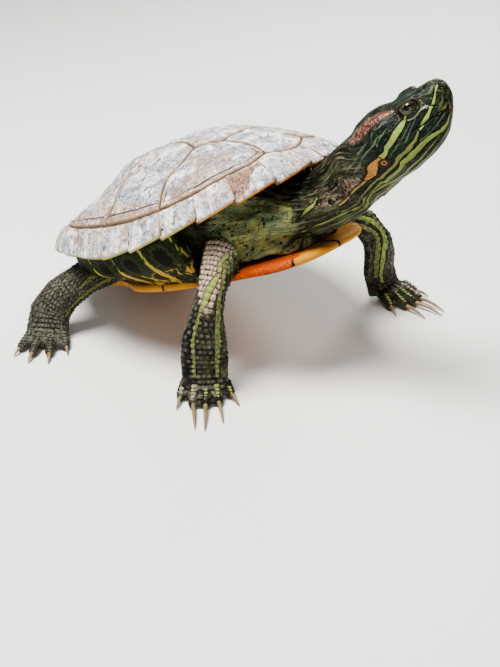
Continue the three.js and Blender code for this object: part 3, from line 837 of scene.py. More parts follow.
plastronGrain = {
    "fine": (1.8, 4, 0.7), "coarse": (7, 4, 0.6), "blots": (4, 3), "flecks": (2.6, 3, 0.6, 1.2),
    "rings": (1.0, 3), "bridgeFine": (1.6, 3, 0.6), "bridgeCoarse": (6, 3, 0.6, 0.8),
}


def plastronMaterial():
    s = Surface("plastronHorn", 0.5, 0.08, plastronTints, plastronGrain)
    fine, coarse = s.grain("fine"), s.grain("coarse")
    red = s.step(s.plus(s.read("red"), s.times(coarse, 0.7)), 0.6, 1.0)
    base = s.mix(s.step(coarse, 0.4, 0.65), "yellow", "straw")
    tint = s.mix(red, base, s.mix(s.step(fine, 0.5, 0.75), "orange", "yellow"))
    blot = s.plus(s.read("blot"), s.times(s.grain("blots"), 1.6))
    tint = s.lay(tint, "dark", s.step(blot, 1.55, 1.75))
    rings = s.grain("rings", s.join(s.times(s.read("edge"), 0.8), 0.0, 0.0))
    tint = s.lay(tint, "orange", s.step(rings, 0.55, 0.7), 0.35)
    flecks = s.grain("flecks")
    tint = s.lay(tint, "dark", s.step(flecks, 0.66, 0.71), 0.9)
    seam = s.plus(s.read("edge"), s.stray(fine, 0.6))
    tint = s.lay(tint, "dark", s.step(seam, 1.1, 0.7))
    return s.finish(tint, s.relief((s.plus(fine, coarse), 0.2)))


def buildPlastron(material):
    half = smoothLine(plastron["half"], step=1)
    outline = np.vstack([half, half[-2:0:-1] * [1, -1]])
    n = len(outline)
    rings, edges = [], []
    stack = [(share, plastron["thick"]) for share in (0.1, 0.3, 0.5, 0.7, 0.9)] + plastron["profile"]
    stack += [(round(0.94 - 0.04 * k, 2), 0.0) for k in range(24)]
    for share, height in stack:
        plan = outline * share
        outward = np.clip(np.abs(plan[:, 1]) / 30, 0, 1) ** 1.4
        seam = np.min([np.abs(plan[:, 0] - a - (b - a) * outward) for a, b in plastronSeams], axis=0)
        seam = np.minimum(seam, np.abs(plan[:, 1]))
        if height < 4:
            height = height + 0.6 * (1 - smoothStep(seam, 0, 1.2)) * (1 - height / 4)
        z = np.broadcast_to(height, n) + plastronLift(plan[:, 0])
        rings.append(np.column_stack([plan, z]))
        edges.append(seam)
    verts, faces = loftShell(rings)
    edge = np.concatenate([*edges, [9, 9]])
    gular = 87 - 0.4 * np.clip(verts[:, 1], 0, 30)
    red = smoothStep(verts[:, 0], gular, gular - 4) * smoothStep(verts[:, 0], 20, 46)
    red = red * smoothStep(np.abs(verts[:, 1]), 8, 22)
    spots = wobble(verts * [1, 1, 0], 26, 3)
    blot = smoothStep(spots, 0.35, 0.9) * smoothStep(verts[:, 2] - plastronLift(verts[:, 0]), 1.5, 0.5)
    return makeObject("plastronScutes", place(shellToTurtle(verts)), faces, material,
                      data={"edge": edge, "red": red, "blot": blot})


def rimAngle(x):
    # about where the rim passes a place along the shell
    return np.arccos(np.clip((x + 5) / (shell["length"] / 2), -1, 1))


def buildBridge(material, side):
    rings = []
    for share in np.linspace(0, 1, 60):
        x = plastron["bridgeFront"] + (plastron["bridgeRear"] - plastron["bridgeFront"]) * share
        edge = rim(rimAngle(x))
        out = plastron["bridgeOut"] + plastron["bridgeBulge"] * math.sin(math.pi * share)
        lift = plastron["bridgeRise"] * share ** 3
        section = [[edge[1] * 0.93, edge[2] - 1.4], [edge[1] * 0.9, edge[2] * 0.55], [out + 4, 4 + lift],
                   [out, 1 + lift], [out - 2, 4.5 + lift], [edge[1] * 0.8, edge[2] * 0.62],
                   [edge[1] * 0.84, edge[2] - 1.4]]
        outline = np.vstack([smoothLine(section[:4], step=1.2), section[4:]])
        ring, _ = evenly(outline, count=40)
        rings.append(np.column_stack([np.full(len(ring), x), ring[:, 0] * side, ring[:, 1]]))
    verts, faces = loftShell(rings)
    if side > 0:
        faces = [face[::-1] for face in faces]
    name = "bridgeHornLeft" if side > 0 else "bridgeHornRight"
    return makeObject(name, place(shellToTurtle(verts)), faces, material, bridgePattern(verts))


def bridgePattern(verts):
    # yellow bars lean forward and down from each seam of the marginals, with dark ovals between them
    top = rim(rimAngle(verts[:, 0]))[:, 2]
    down = np.clip((top - verts[:, 2]) / top, 0, 1.2)
    rimSeamX = rim(rimSeams())[:, 0]
    leaned = verts[:, 0] - 9 * down
    nearest = np.sort(np.abs(leaned[:, None] - rimSeamX[None]), axis=1)
    bar = nearest[:, 0] - 0.6 - 1.1 * smoothStep(down, 0.25, 0.6)
    middle = (nearest[:, 1] - nearest[:, 0]) / 2
    oval = np.hypot(middle / 5.5, (down - 0.36) / 0.24)
    return {"bar": bar, "oval": oval, "down": down}


def bridgeMaterial():
    s = Surface("bridgeHorn", 0.5, 0.06, plastronTints, plastronGrain)
    fine = s.grain("bridgeFine")
    coarse = s.grain("bridgeCoarse")
    bar, oval, down = s.read("bar"), s.read("oval"), s.read("down")
    tint = s.mix(s.step(fine, 0.4, 0.7), "bridge", "bridgeOlive")
    tint = s.lay(tint, "dark", s.step(s.plus(oval, s.times(fine, 0.4)), 1.0, 0.8))
    ringed = s.apart(oval, 0.98)
    tint = s.lay(tint, "bridgeOlive", s.step(ringed, 0.14, 0.05), 0.6)
    ragged = s.plus(bar, s.stray(coarse, 3.2))
    lit = s.times(s.step(ragged, 0.35, -0.1), s.step(down, 0.86, 0.72))
    tint = s.lay(tint, s.mix(s.step(down, 0.3, 0.6), "stripe", "patch"), lit)
    low = s.times(s.step(coarse, 0.56, 0.6), s.step(down, 0.5, 0.6))
    tint = s.lay(tint, "patch", s.times(low, s.step(down, 0.97, 0.9)))
    return s.finish(tint, s.relief((fine, 0.14)))


plastronScutes = buildPlastron(plastronMaterial())
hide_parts("plastron")
bridgeHorn = bridgeMaterial()
for side, node in ((-1, "bridge_right"), (1, "bridge_left")):
    bridge = buildBridge(bridgeHorn, side)
    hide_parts(node)
print("plastron and bridges")


# The skin's own coordinates: a place along neck, limb, tail or digit, and a bearing round it

headPose = {"base": (108.7, 6, 134.8), "yaw": 33, "pitch": 50}
eye = {
    "along": 18.2, "up": 9.4, "out": 7.9, "radius": 4.7,
    "gaze": (0.22, 0.90, 0.40), "wide": 4.3, "tall": 3.1, "tilt": -12, "lid": 0.45,
    "crown": [[12, 16, 20, 24, 28], [15, 13.7, 12.6, 11.7, 11]],  # height of the crown along the head
    "browSkin": (0, 0.35), "browBall": (0.2, 0.3),  # depth under it where each is pressed, and what stays
}


def unit(v):
    v = np.asarray(v, float)
    return v / np.linalg.norm(v, axis=-1, keepdims=True)


def headAxes():
    yaw, pitch = math.radians(headPose["yaw"]), math.radians(headPose["pitch"])
    forward = np.array([math.cos(pitch) * math.cos(yaw), math.cos(pitch) * math.sin(yaw), math.sin(pitch)])
    left = np.array([-math.sin(yaw), math.cos(yaw), 0])
    return np.array([forward, left, np.cross(forward, left)])


headFrame = headAxes()


def toHead(p):
    return (p - np.array(headPose["base"])) @ headFrame.T


def fromHead(p):
    return np.asarray(p, float) @ headFrame + np.array(headPose["base"])


fleshNames = [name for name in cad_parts
              if name.startswith(("leg_", "foot_")) or name in ("trunk", "neck", "head", "lower_jaw", "tail")]


class Tube:
    # a centre line through a part of the body

    def __init__(self, path, zero, side, radius):
        # zero is the bearing that counts as 0 degrees, side the one that counts as 90
        fine = smoothLine(path, step=1.2)
        self.centre, self.radius = fine[:, :3], fine[:, 3]
        self.along = wayAlong(self.centre)
        self.ahead = unit(np.gradient(self.centre, axis=0))
        zero = np.array(zero, float)
        self.zero = unit(zero - self.ahead * (self.ahead @ zero)[:, None])
        self.side = np.cross(self.ahead, self.zero)
        self.side *= np.sign(self.side @ np.array(side, float))[:, None]
        self.round = radius

    def coords(self, p):
        # place along the line, bearing round it, and distance from it as a share of the radius
        near = np.concatenate([
            np.argmin(np.sum((part[:, None, :] - self.centre[None]) ** 2, -1), 1)
            for part in np.array_split(p, max(1, len(p) // 4000))])
        slip = np.sum((p - self.centre[near]) * self.ahead[near], 1)
        low = np.clip(np.where(slip < 0, near - 1, near), 0, len(self.centre) - 2)
        before = np.sum((p - self.centre[low]) * self.ahead[low], 1)
        after = np.sum((p - self.centre[low + 1]) * self.ahead[low + 1], 1)
        t = np.clip(before / np.maximum(before - after, 1e-6), 0, 1)[:, None]

        def between(values):
            return values[low] * (1 - t) + values[low + 1] * t

        v = p - between(self.centre)
        aside, up = np.sum(v * between(self.side), 1), np.sum(v * between(self.zero), 1)
        bearing = np.degrees(np.arctan2(aside, up))
        over = np.sum(v * between(self.ahead), 1)
        away = np.linalg.norm(v - between(self.ahead) * over[:, None], axis=1)
        along = between(self.along[:, None])[:, 0] + over
        return along, bearing, (away + 4 * np.maximum(np.abs(over) - 1, 0)) / self.radius[near]

    def at(self, s):
        return np.stack([np.interp(s, self.along, self.centre[:, k]) for k in range(3)], -1)

    def axes(self, s):
        return [unit(np.stack([np.interp(s, self.along, a[:, k]) for k in range(3)], -1))
                for a in (self.ahead, self.zero, self.side)]


# Centre lines, each point with its half width.
neckPath = [(36, 0, 78, 42), (52, 0, 85, 34), (66, 0, 92, 24), (78.5, 0, 102.5, 17.5), (90.7, 2, 117, 15.5)]
neckPath += [(*fromHead((x, 0, 2)), half) for x, half in ((-13, 16), (0, 17), (12, 16), (24, 13), (36, 6))]
limbs = {
    "foreRight": [(33, -24, 77, 15), (40, -40, 71, 10), (44.5, -52, 58, 8), (46, -57, 46, 8.5),
                  (45.5, -59, 33, 11.4), (46, -60, 19, 12.6), (48, -62, 6, 13)],
    "foreLeft": [(33, 24, 75, 14), (44, 44, 69, 9), (56, 60, 59, 8), (59.5, 69, 46, 9),
                 (57, 76, 33, 9.8), (53, 82, 20, 10.4), (55, 86, 6, 12)],
    "hindRight": [(-46, -24, 36, 17), (-49, -42, 35, 12), (-52, -58, 31, 10), (-57, -70, 24, 10.6),
                  (-59.5, -78, 15, 11.8), (-56, -84, 6, 13)],
    "hindLeft": [(-46, 24, 36, 17), (-50, 42, 35, 12), (-54, 57, 31, 10), (-60, 68, 24, 10.6),
                 (-64, 75, 15, 11.8), (-62, 82, 6, 13)],
}
tailPath = [(-62, 0, 24, 11), (-76, 2, 19, 9), (-88, 8, 13, 6.5), (-99, 17, 7.5, 4.8), (-106, 27, 3.6, 2.8),
            (-109, 35, 2, 1.6)]
tubes = {"neck": Tube(neckPath, (0, 0, 1), (0, -1, 0), 15)}
for limb, path in limbs.items():
    tubes[limb] = Tube(path, (1, 0, 0), (0, -1 if limb.endswith("Right") else 1, 0), 8.5)
tubes["tail"] = Tube(tailPath, (0, 0, 1), (0, -1, 0), 6)
# along the neck, 0 is the back of the head and the snout is ahead of it
headStart = np.argmin(np.linalg.norm(tubes["neck"].centre - fromHead((0, 0, 2)), axis=1))
tubes["neck"].along -= tubes["neck"].along[headStart]
feet = {
    "foreRight": {"at": (48, -62), "heading": -45, "toward": 1, "kind": "fore"},
    "foreLeft": {"at": (64, 88), "heading": 2, "toward": -1, "kind": "fore"},
    "hindRight": {"at": (-53, -87), "heading": -55, "toward": 1, "kind": "hind"},
    "hindLeft": {"at": (-59.5, 85), "heading": 62, "toward": -1, "kind": "hind"},
}
# digits from the inner side out: side, back, turn, length, half thickness
digits = {
    "fore": [(10.5, 3, 22, 7, 2.9), (5.6, 0, 7, 10, 3.1), (0.2, 0, 0, 12, 3.2), (-5.2, 0, -6, 11.5, 3.1),
             (-10, 3, -20, 8, 2.9)],
    "hind": [(9.6, 3, 20, 8, 2.8), (3.6, 0, 8, 12.5, 3), (-3, 0, -4, 13, 3), (-9, 1, -16, 10.5, 2.9)],
}


def heading(degrees):
    return np.array([math.cos(math.radians(degrees)), math.sin(math.radians(degrees)), 0])


def digitLine(foot, digit):
    side, back, turn, length = digit[:4]
    knuckle = np.array([*foot["at"], 6.5]) + heading(foot["heading"] + 90 * foot["toward"]) * side
    knuckle = knuckle - heading(foot["heading"]) * back
    end = knuckle + heading(foot["heading"] + turn * foot["toward"]) * length
    end[2] = 2.9
    return knuckle, end


for limb, foot in feet.items():
    for k, digit in enumerate(digits[foot["kind"]]):
        knuckle, end = digitLine(foot, digit)
        middle = (knuckle + end) / 2
        path = [(*p, digit[4]) for p in (knuckle, middle, end + (end - knuckle) * 0.2)]
        across = (knuckle[1] - end[1], end[0] - knuckle[0], 0)
        tubes["%sDigit%d" % (limb, k + 1)] = Tube(path, (0, 0, 1), across, 3)
tubeNames = list(tubes)


# Markings: lines of (along, bearing, half width) on the skin's own coordinates

headMarks = {
    "bright": [
        # behind the eye, along the lower jaw, and from the nostril to the corner of the mouth
        [(16, 61, 0.6), (12.4, 66, 1.2), (9.6, 70, 1.5), (5.2, 75, 1.3), (0.3, 78, 1), (-5.4, 77, 1.1)],
        [(28, 141, 0.5), (25.2, 144, 0.7), (21.7, 134, 0.8), (18.1, 124, 0.8), (13.7, 119, 0.9),
         (9.7, 117, 1.2), (3.8, 114, 1.2), (-3.1, 111, 1), (-8.1, 117, 0.85), (-12.5, 141, 0.8),
         (-15.5, 157, 0.75), (-18.6, 161, 0.75), (-23, 155, 0.7), (-28, 150, 0.7), (-35, 140, 0.65),
         (-41, 128, 0.65), (-47.5, 123, 0.65), (-56, 117, 0.55), (-66, 109, 0.3)],
        [(33.3, 37, 0.3), (30.8, 61, 0.5), (28.4, 77, 0.6), (23.7, 89, 0.8), (19.4, 95, 1.1),
         (16.4, 98, 0.7)],
        [(-41, 79, 0.3), (-42.8, 82, 0.5), (-45.3, 88, 0.9), (-49.5, 93, 0.6), (-54, 97, 0.2)],
    ],
    "olive": [
        [(15.1, 98, 0.5), (11.9, 104, 0.9), (6, 103, 0.9), (1, 102, 0.8), (-5.2, 101, 0.7),
         (-9, 108, 0.5), (-12.3, 127, 0.4), (-15.5, 144, 0.4), (-19, 151, 0.4), (-28, 140, 0.4),
         (-36, 130, 0.4), (-44, 117, 0.4)],
        [(19.7, 136, 0.3), (12.5, 130, 0.5), (7.6, 132, 0.6), (3, 130, 0.7), (-4.6, 126, 0.7),
         (-10.1, 139, 0.7), (-15.4, 163, 0.7), (-22.9, 164, 0.7), (-35.7, 154, 0.6), (-52, 134, 0.6),
         (-64, 122, 0.4)],
        [(27, 158, 0.4), (21, 150, 0.5), (16.4, 143, 0.4), (11.2, 143, 0.5), (2.5, 142, 0.6),
         (-5, 141, 0.6), (-14, 172, 0.6)],
        [(28, 176, 0.4), (20, 168, 0.6), (12, 160, 0.7), (2, 158, 0.7), (-6, 162, 0.7)],
        [(14, 180, 0.8), (2, 180, 1.1), (-20, 180, 0.9), (-50, 175, 0.6)],
        [(-24, 171, 0.5), (-40, 164, 0.5), (-56, 152, 0.5), (-66, 140, 0.4)],
        [(32.2, 123, 0.5), (29.5, 115, 0.8), (26.4, 110, 0.5)],
    ],
    "thin": [
        [(9.4, 45, 0.25), (6.5, 43, 0.3), (1.2, 47, 0.3), (-4.7, 40, 0.3), (-10.5, 49, 0.35),
         (-14.5, 77, 0.35), (-18.5, 100, 0.25)],
        [(2.6, 57, 0.25), (-4.7, 51, 0.3), (-10.4, 60, 0.3), (-13.6, 86, 0.3), (-16.7, 108, 0.25)],
        [(10.2, 48, 0.25), (5.9, 56, 0.25), (1.6, 59, 0.25), (-3, 60, 0.2)],
        [(18.4, 76, 0.25), (14.6, 82, 0.3), (10.8, 90, 0.25), (7.9, 93, 0.2)],
        [(15.6, 74, 0.2), (12, 80, 0.25), (7, 86, 0.25), (3, 89, 0.25), (-1, 90, 0.2)],
        [(33, 70, 0.2), (32.1, 81, 0.3), (31.2, 98, 0.3), (27.1, 100, 0.3), (23.8, 104, 0.25)],
        [(27.7, 124, 0.25), (24.5, 121, 0.3), (21.2, 119, 0.3), (18.7, 118, 0.25), (13, 111, 0.2)],
        [(24.6, 112, 0.25), (21.2, 113, 0.25), (17.6, 110, 0.25)],
        [(31.5, 35, 0.25), (28, 52, 0.3), (25.6, 66, 0.3), (24, 78, 0.2)],
        [(26, 46, 0.2), (24.5, 58, 0.25), (21.5, 70, 0.3), (20.2, 84, 0.25)],
        [(29, 4, 0.25), (24, 9, 0.25), (16, 10, 0.25), (4, 8, 0.25), (-12, 8, 0.25), (-30, 14, 0.25)],
        [(8, 120, 0.2), (0, 118, 0.25), (-7, 122, 0.2), (-11, 138, 0.25), (-20, 152, 0.25),
         (-34, 147, 0.25)],
        [(-12, 26, 0.25), (-25, 27, 0.3), (-45, 33, 0.3)],
        [(-24, 60, 0.2), (-34, 64, 0.3), (-46, 62, 0.3), (-58, 60, 0.3)],
        [(-40, 96, 0.3), (-52, 104, 0.4), (-60, 103, 0.3)],
    ],
    "orange": [
        [(-6.5, 77, 0.5), (-8.9, 81, 1.3), (-10.3, 93, 1.5), (-12, 108, 1.1), (-13.9, 120, 0.7)],
        [(31.8, 129, 0.3), (30.5, 134, 0.5), (30, 148, 0.3)],
    ],
    "tan": [
        [(-12, 108, 0.8), (-13.9, 121, 0.8), (-17.3, 132, 0.6), (-22, 130, 0.5), (-28.9, 116, 0.5),
         (-36, 111, 0.4)],
        [(12, 30, 0.8), (8, 30, 1)],
    ],
    "red": [[(12.5, 31, 1.2), (8, 28, 2.4), (1.3, 25, 3.2), (-5.9, 20, 3.2), (-11, 24, 2.4)]],
    "ring": [[(-6.1, 88.5, 0)]],
    "pink": [[(-14.6, 116, 1.5), (-19.6, 118, 3), (-31.3, 100, 3.6), (-37, 94, 3), (-44, 86, 1.4)]],
    "pale": [
        [(-56, 80, 1.5), (-62, 84, 7), (-72, 84, 13), (-84, 90, 13)],
        [(-60, 102, 3), (-74, 106, 9)],
        [(-62, 150, 3), (-74, 140, 8), (-84, 130, 10)],
    ],
}
foreMarks = {
    "bright": [
        [(31, 45, 1.2), (37, 58, 2.1), (42, 68, 1.9), (47, 78, 1.6), (53, 88, 1.2)],
        [(40, 10, 1), (46, 4, 2.2), (52, -2, 2.4), (58, -6, 1.7)],
        [(21, 38, 1.2), (25, 42, 1.9), (28, 44, 1.2)],
    ],
    "olive": [
        [(24, 30, 1.2), (31, 16, 1.4), (43, 8, 1.6), (50, 0, 2), (62, -5, 1.3), (72.8, -6, 1.1),
         (84, -8, 0.9)],
        [(47, 78, 1.1), (52.2, 88, 1.1), (60, 92, 1), (70, 90, 1), (84, 93, 0.9)],
    ],
    "pink": [[(19, 78, 6), (26, 74, 8), (33, 70, 7.5), (40, 62, 5), (44, 60, 3)]],
    "thin": [
        [(46, 130, 0.5), (60, 140, 0.5), (80, 140, 0.5)],
        [(40, -60, 0.6), (60, -62, 0.6), (84, -60, 0.6)],
        [(40, -110, 0.6), (60, -112, 0.6), (84, -110, 0.6)],
    ],
    "black": [[(52, 128, 5), (62, 130, 7), (78, 128, 6)]],
    "pale": [[(12, 20, 9), (20, 20, 5), (26, 12, 2)]],
}
farMarks = {
    "bright": [
        [(30, 6, 1.2), (39, 7, 1.6), (46, 16, 1.9), (54, 18, 2.1), (60, 0, 2), (64, -32, 1.9),
         (75, -46, 1.7), (98, -40, 1.2)],
    ],
    "olive": [
        [(26, -22, 1.3), (36, -30, 1.7), (46, -26, 1.6), (53, -22, 1.6), (59, -40, 1.8), (64, -62, 1.8),
         (75, -72, 1.5), (92, -64, 1.1)],
        [(30, 60, 1.4), (46, 66, 1.4), (60, 60, 1.3)],
    ],
    "thin": [
        [(57, -80, 0.7), (66, -86, 0.7), (75, -96, 0.7), (90, -90, 0.7)],
        [(50, 110, 0.6), (92, 105, 0.6)],
    ],
    "pale": [[(12, 0, 9), (22, 0, 6), (32, 0, 3)], [(20, -60, 6), (36, -66, 5)]],
}
hindMarks = {
    "olive": [
        [(24, 30, 1.8), (34, 26, 1.6), (40, 20, 0.7)],
        [(24, -8, 1.2), (44, -14, 0.9), (62, -16, 0.6)],
        [(30, 160, 0.9), (60, 165, 0.8)],
    ],
    "thin": [[(34, 75, 0.5), (50, 80, 0.5), (66, 80, 0.4)], [(30, -50, 0.5), (66, -50, 0.5)]],
}
tailMarks = {
    "olive": [
        [(0, 50, 0.9), (40, 50, 0.5)],
        [(0, -50, 0.9), (40, -50, 0.5)],
        [(0, 110, 0.8), (40, 110, 0.4)],
        [(0, -110, 0.8), (40, -110, 0.4)],
    ],
}
digitMarks = {
    "bright": [[(-1, 0, 1.3), (9, 0, 1)]],
}
paleDigitMarks = {
    "pink": [[(-3, 0, 0.6), (10, 0, 0.4)]],
    "thin": [[(1, 0, 0.5), (9, 0, 0.4)]],
}
greyDigitMarks = {
    "thin": [[(0, 0, 0.6), (9, 0, 0.4)]],
}
marksOf = {"neck": headMarks, "foreRight": foreMarks, "foreLeft": farMarks, "hindRight": hindMarks,
           "hindLeft": hindMarks, "tail": tailMarks}
markNames = ["bright", "olive", "thin", "orange", "tan", "red", "ring", "pink", "black", "pale"]


def pairs(line):
    # the ends of a marking's short straight parts, its kinks rounded off
    points = np.array(line, float)
    if len(points) == 1:
        points = np.vstack([points, points + [0.01, 0, 0]])
    if len(points) > 2:
        points[1:-1] = 0.7 * points[1:-1] + 0.15 * (points[:-2] + points[2:])
        points = smoothLine(points, step=4)
    return points[:-1], points[1:]


def lineField(s, bearing, radius, lines):
    # how far inside the nearest of the lines each point is, in millimetres
    best = np.full(len(s), -20.0)
    for line in lines:
        for (s0, a0, w0), (s1, a1, w1) in zip(*pairs(line)):
            here = np.where(np.abs(s - (s0 + s1) / 2) < abs(s1 - s0) / 2 + max(w0, w1) + 5)[0]
            r = radius[here]
            dx, dy = s1 - s0, np.radians(a1 - a0) * r
            px, py = s[here] - s0, np.radians(bearing[here] - a0) * r
            t = np.clip((px * dx + py * dy) / (dx * dx + dy * dy + 1e-9), 0, 1)
            inside = w0 + (w1 - w0) * t - np.hypot(px - dx * t, py - dy * t)
            best[here] = np.maximum(best[here], inside)
    return best


# half width of neck and head, by place along them
headRadii = [[-70, -50, -30, -13, 14, 20, 25, 30, 36], [24, 19, 15.5, 14.5, 14, 12, 10, 7.5, 4]]


def headRadius(s):
    return np.interp(s, *headRadii)


def regionOf(p):
    # the tube that each point of the skin belongs to, with its coordinates there
    best = np.full(len(p), 1e9)
    which = np.zeros(len(p), int)
    s, bearing = np.zeros(len(p)), np.zeros(len(p))
    for k, name in enumerate(tubeNames):
        here = np.where(p[:, 2] < 12)[0] if "Digit" in name else np.arange(len(p))
        if not len(here):
            continue
        along, angle, ratio = tubes[name].coords(p[here])
        ratio = ratio - 0.12 * (name == "neck")
        nearer = ratio < best[here]
        here = here[nearer]
        best[here], which[here] = ratio[nearer], k
        s[here], bearing[here] = along[nearer], angle[nearer]
    return which, s, bearing


def markings(which, s, bearing):
    # the distance field of every kind of marking, at points given by their tube and place on it
    fields = {name: np.full(len(s), -20.0) for name in markNames}
    for k, name in enumerate(tubeNames):
        here = np.where(which == k)[0]
        if not len(here):
            continue
        toes = paleDigitMarks if name[-1] in "45" else digitMarks
        marks = marksOf.get(name, greyDigitMarks if name.startswith("hind") else toes)
        if name == "neck":
            angle, radius = np.abs(bearing[here]), headRadius(s[here])
        else:
            angle, radius = bearing[here], np.full(len(here), tubes[name].round)
        stray = wobble(np.column_stack([s[here], np.radians(angle) * radius]), 7, 21 + k) * 0.16
        for mark, lines in marks.items():
            fields[mark][here] = lineField(s[here], angle, radius, lines) + stray
    return fields


# Skin

skinSizes = {
    "voxel": 0.93, "grow": 0.55, "shrink": 0.4,
    "smooth": 30, "footKeeps": 0.55, "snoutKeeps": 0.35,  # rounds of smoothing, and how much is held back
    "hiddenShare": 0.38,           # share of the faces that stays where the shell covers the trunk
    "fold": 0.75, "crease": 0.26,  # height of the neck's long folds, and of the creases across them
    "roll": 0.2,                   # height of the folds across the limbs
    "mouth": 0.5, "beak": 0.32,    # depth of the line of the mouth, how far the beak stands over it
    "nostril": (34.2, 2.1, 4.6), "eardrum": (-1.0, 15, 1.6),  # places on the head, its left side
}
mouthLine = [(31.5, 118, 0), (30.1, 127, 0), (26.6, 106, 0), (23.5, 102, 0), (21.7, 99, 0), (18.2, 96, 0),
             (15.7, 93, 0), (12.9, 89, 0)]


def fleshSolid():
    flesh = bmesh.new()
    for name in fleshNames + ["eye_left", "eye_right"]:
        flesh.from_mesh(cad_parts[name].data)
    bmesh.ops.remove_doubles(flesh, verts=flesh.verts, dist=1e-6)
    bmesh.ops.recalc_face_normals(flesh, faces=flesh.faces)
    flesh.normal_update()
    moves = [v.normal * skinSizes["grow"] * mm for v in flesh.verts]
    for v, move in zip(flesh.verts, moves):
        v.co += move
    mesh = bpy.data.meshes.new("fleshSolid")
    flesh.to_mesh(mesh)
    flesh.free()
    return mesh


def changed(mesh, kind, group=None, **settings):
    # the mesh after one modifier
    holder = bpy.data.objects.new("holder", mesh)
    bpy.context.scene.collection.objects.link(holder)
    change = holder.modifiers.new("change", kind)
    for key, value in settings.items():
        setattr(change, key, value)
    if group is not None:
        weights = holder.vertex_groups.new(name="where")
        weights.add([int(i) for i in np.where(group)[0]], 1, "REPLACE")
        change.vertex_group = "where"
    made = bpy.data.meshes.new_from_object(holder.evaluated_get(bpy.context.evaluated_depsgraph_get()))
    bpy.data.objects.remove(holder)
    return made


def meshArrays(mesh):
    verts = np.empty(len(mesh.vertices) * 3)
    mesh.vertices.foreach_get("co", verts)
    edges = np.empty(len(mesh.edges) * 2, int)
    mesh.edges.foreach_get("vertices", edges)
    return verts.reshape(-1, 3), edges.reshape(-1, 2)


def meshNormals(mesh):
    normals = np.empty(len(mesh.vertices) * 3, np.float32)
    mesh.vertex_normals.foreach_get("vector", normals)
    return normals.reshape(-1, 3).astype(float)


def setVerts(mesh, verts):
    mesh.vertices.foreach_set("co", np.ascontiguousarray(verts, np.float32).ravel())
    mesh.update()


def neighbourMean(verts, edges, counts):
    total = np.empty_like(verts)
    n = len(verts)
    for k in range(3):
        column = verts[:, k]
        total[:, k] = (np.bincount(edges[:, 0], column[edges[:, 1]], n)
                       + np.bincount(edges[:, 1], column[edges[:, 0]], n))
    return total / counts[:, None]


def smoothed(verts, edges, rounds, strength):
    counts = np.maximum(np.bincount(edges.ravel(), minlength=len(verts)), 1)
    for _ in range(rounds):
        for push in (0.6, -0.61):
            verts = verts + (neighbourMean(verts, edges, counts) - verts) * (push * strength)[:, None]
    return verts


def underShell(p):
    # place in the shell's own frame, depth under the dome and share of the way out to the rim
    x = p[:, 0] * pitchCos + (p[:, 2] - shell["lift"]) * pitchSin
    z = -p[:, 0] * pitchSin + (p[:, 2] - shell["lift"]) * pitchCos
    share, angle = planToDome(np.column_stack([x, p[:, 1]]))
    return x, z, dome(share, angle)[:, 2] - z, share


hidden = {
    "middle": (37, 56, 1, 72),  # between the bridges: half length, half width, low and high
    "dome": (11, 0.86, 20),     # depth under the dome, share of the way out, lowest place
    "floor": (8, 0.9, 76),      # height over the plastron, share of its width, half length
}


def hiddenInShell(p):
    # points of the trunk that carapace, plastron and bridges cover
    x, z, top, share = underShell(p)
    y = np.abs(p[:, 1])
    halfLong, halfWide, low, high = hidden["middle"]
    middle = (np.abs(x) < halfLong) & (y < halfWide) & (z > low) & (z < high)
    deep, out, least = hidden["dome"]
    near, width, reach = hidden["floor"]
    half = np.array(plastron["half"])[::-1]
    plate = np.interp(x, half[1:, 0], half[1:, 1]) * width
    below = (z - plastronLift(x) < near) & (y < plate) & (np.abs(x) < reach)
    return middle | ((top < deep) & (share < out) & (z > least)) | below


def finerHead(mesh):
    shape = bmesh.new()
    shape.from_mesh(mesh)
    edges = set()
    for face in shape.faces:
        p = toHead(unplace(face.calc_center_median()))
        if p[0] > -12 and abs(p[1]) < 24 and abs(p[2]) < 24:
            edges.update(face.edges)
    bmesh.ops.subdivide_edges(shape, edges=list(edges), cuts=1, use_grid_fill=True)
    fine = bpy.data.meshes.new("skin")
    shape.to_mesh(fine)
    shape.free()
    return fine


def underBrow(h, below, share):
    # lowers what stands above the crown's slope beside the eyes
    x, y, z = h.T
    top = np.interp(x, *eye["crown"]) - below
    beside = smoothStep(np.abs(y), 3, 5.5) * smoothStep(x, 11.5, 15) * smoothStep(x, 28, 25)
    low = np.minimum(z, top + (z - top) * share)
    return np.column_stack([x, y, z + (low - z) * beside])


def eyeAxes(side):
    # the eye's own axes in the head's frame: gaze, along the slit, and across it
    gaze = unit(np.array(eye["gaze"]) * [1, side, 1])
    slit = unit(np.cross(np.cross(gaze, [1, 0, 0]), gaze))
    across = np.cross(gaze, slit) * side
    across *= np.sign(across[2])
    tilt = math.radians(eye["tilt"])
    c, s = math.cos(tilt), math.sin(tilt)
    return gaze, slit * c + across * s, across * c - slit * s


def eyeCentre(side):
    return np.array([eye["along"], eye["out"] * side, eye["up"]])


def openingValue(h, side):
    # 1 on the edge of the lids, less inside, more outside, by angle from the gaze
    gaze, slit, across = eyeAxes(side)
    v = h - eyeCentre(side)
    away = np.maximum(np.linalg.norm(v, axis=1), 1e-6)
    u, w, front = v @ slit, v @ across, v @ gaze
    flat = v - gaze * front[:, None]
    turn = np.arctan2(np.linalg.norm(flat, axis=1), front)
    spin = np.arctan2(w, u)
    tall = math.asin(eye["tall"] / eye["radius"])
    wide = math.asin(eye["wide"] / eye["radius"])
    edge = 1 / np.sqrt((np.cos(spin) / wide) ** 2 + (np.sin(spin) / tall) ** 2)
    edge *= 1 - 0.1 * np.sin(2 * spin) ** 2
    return turn / edge, away, w, edge, unit(flat + 1e-9)


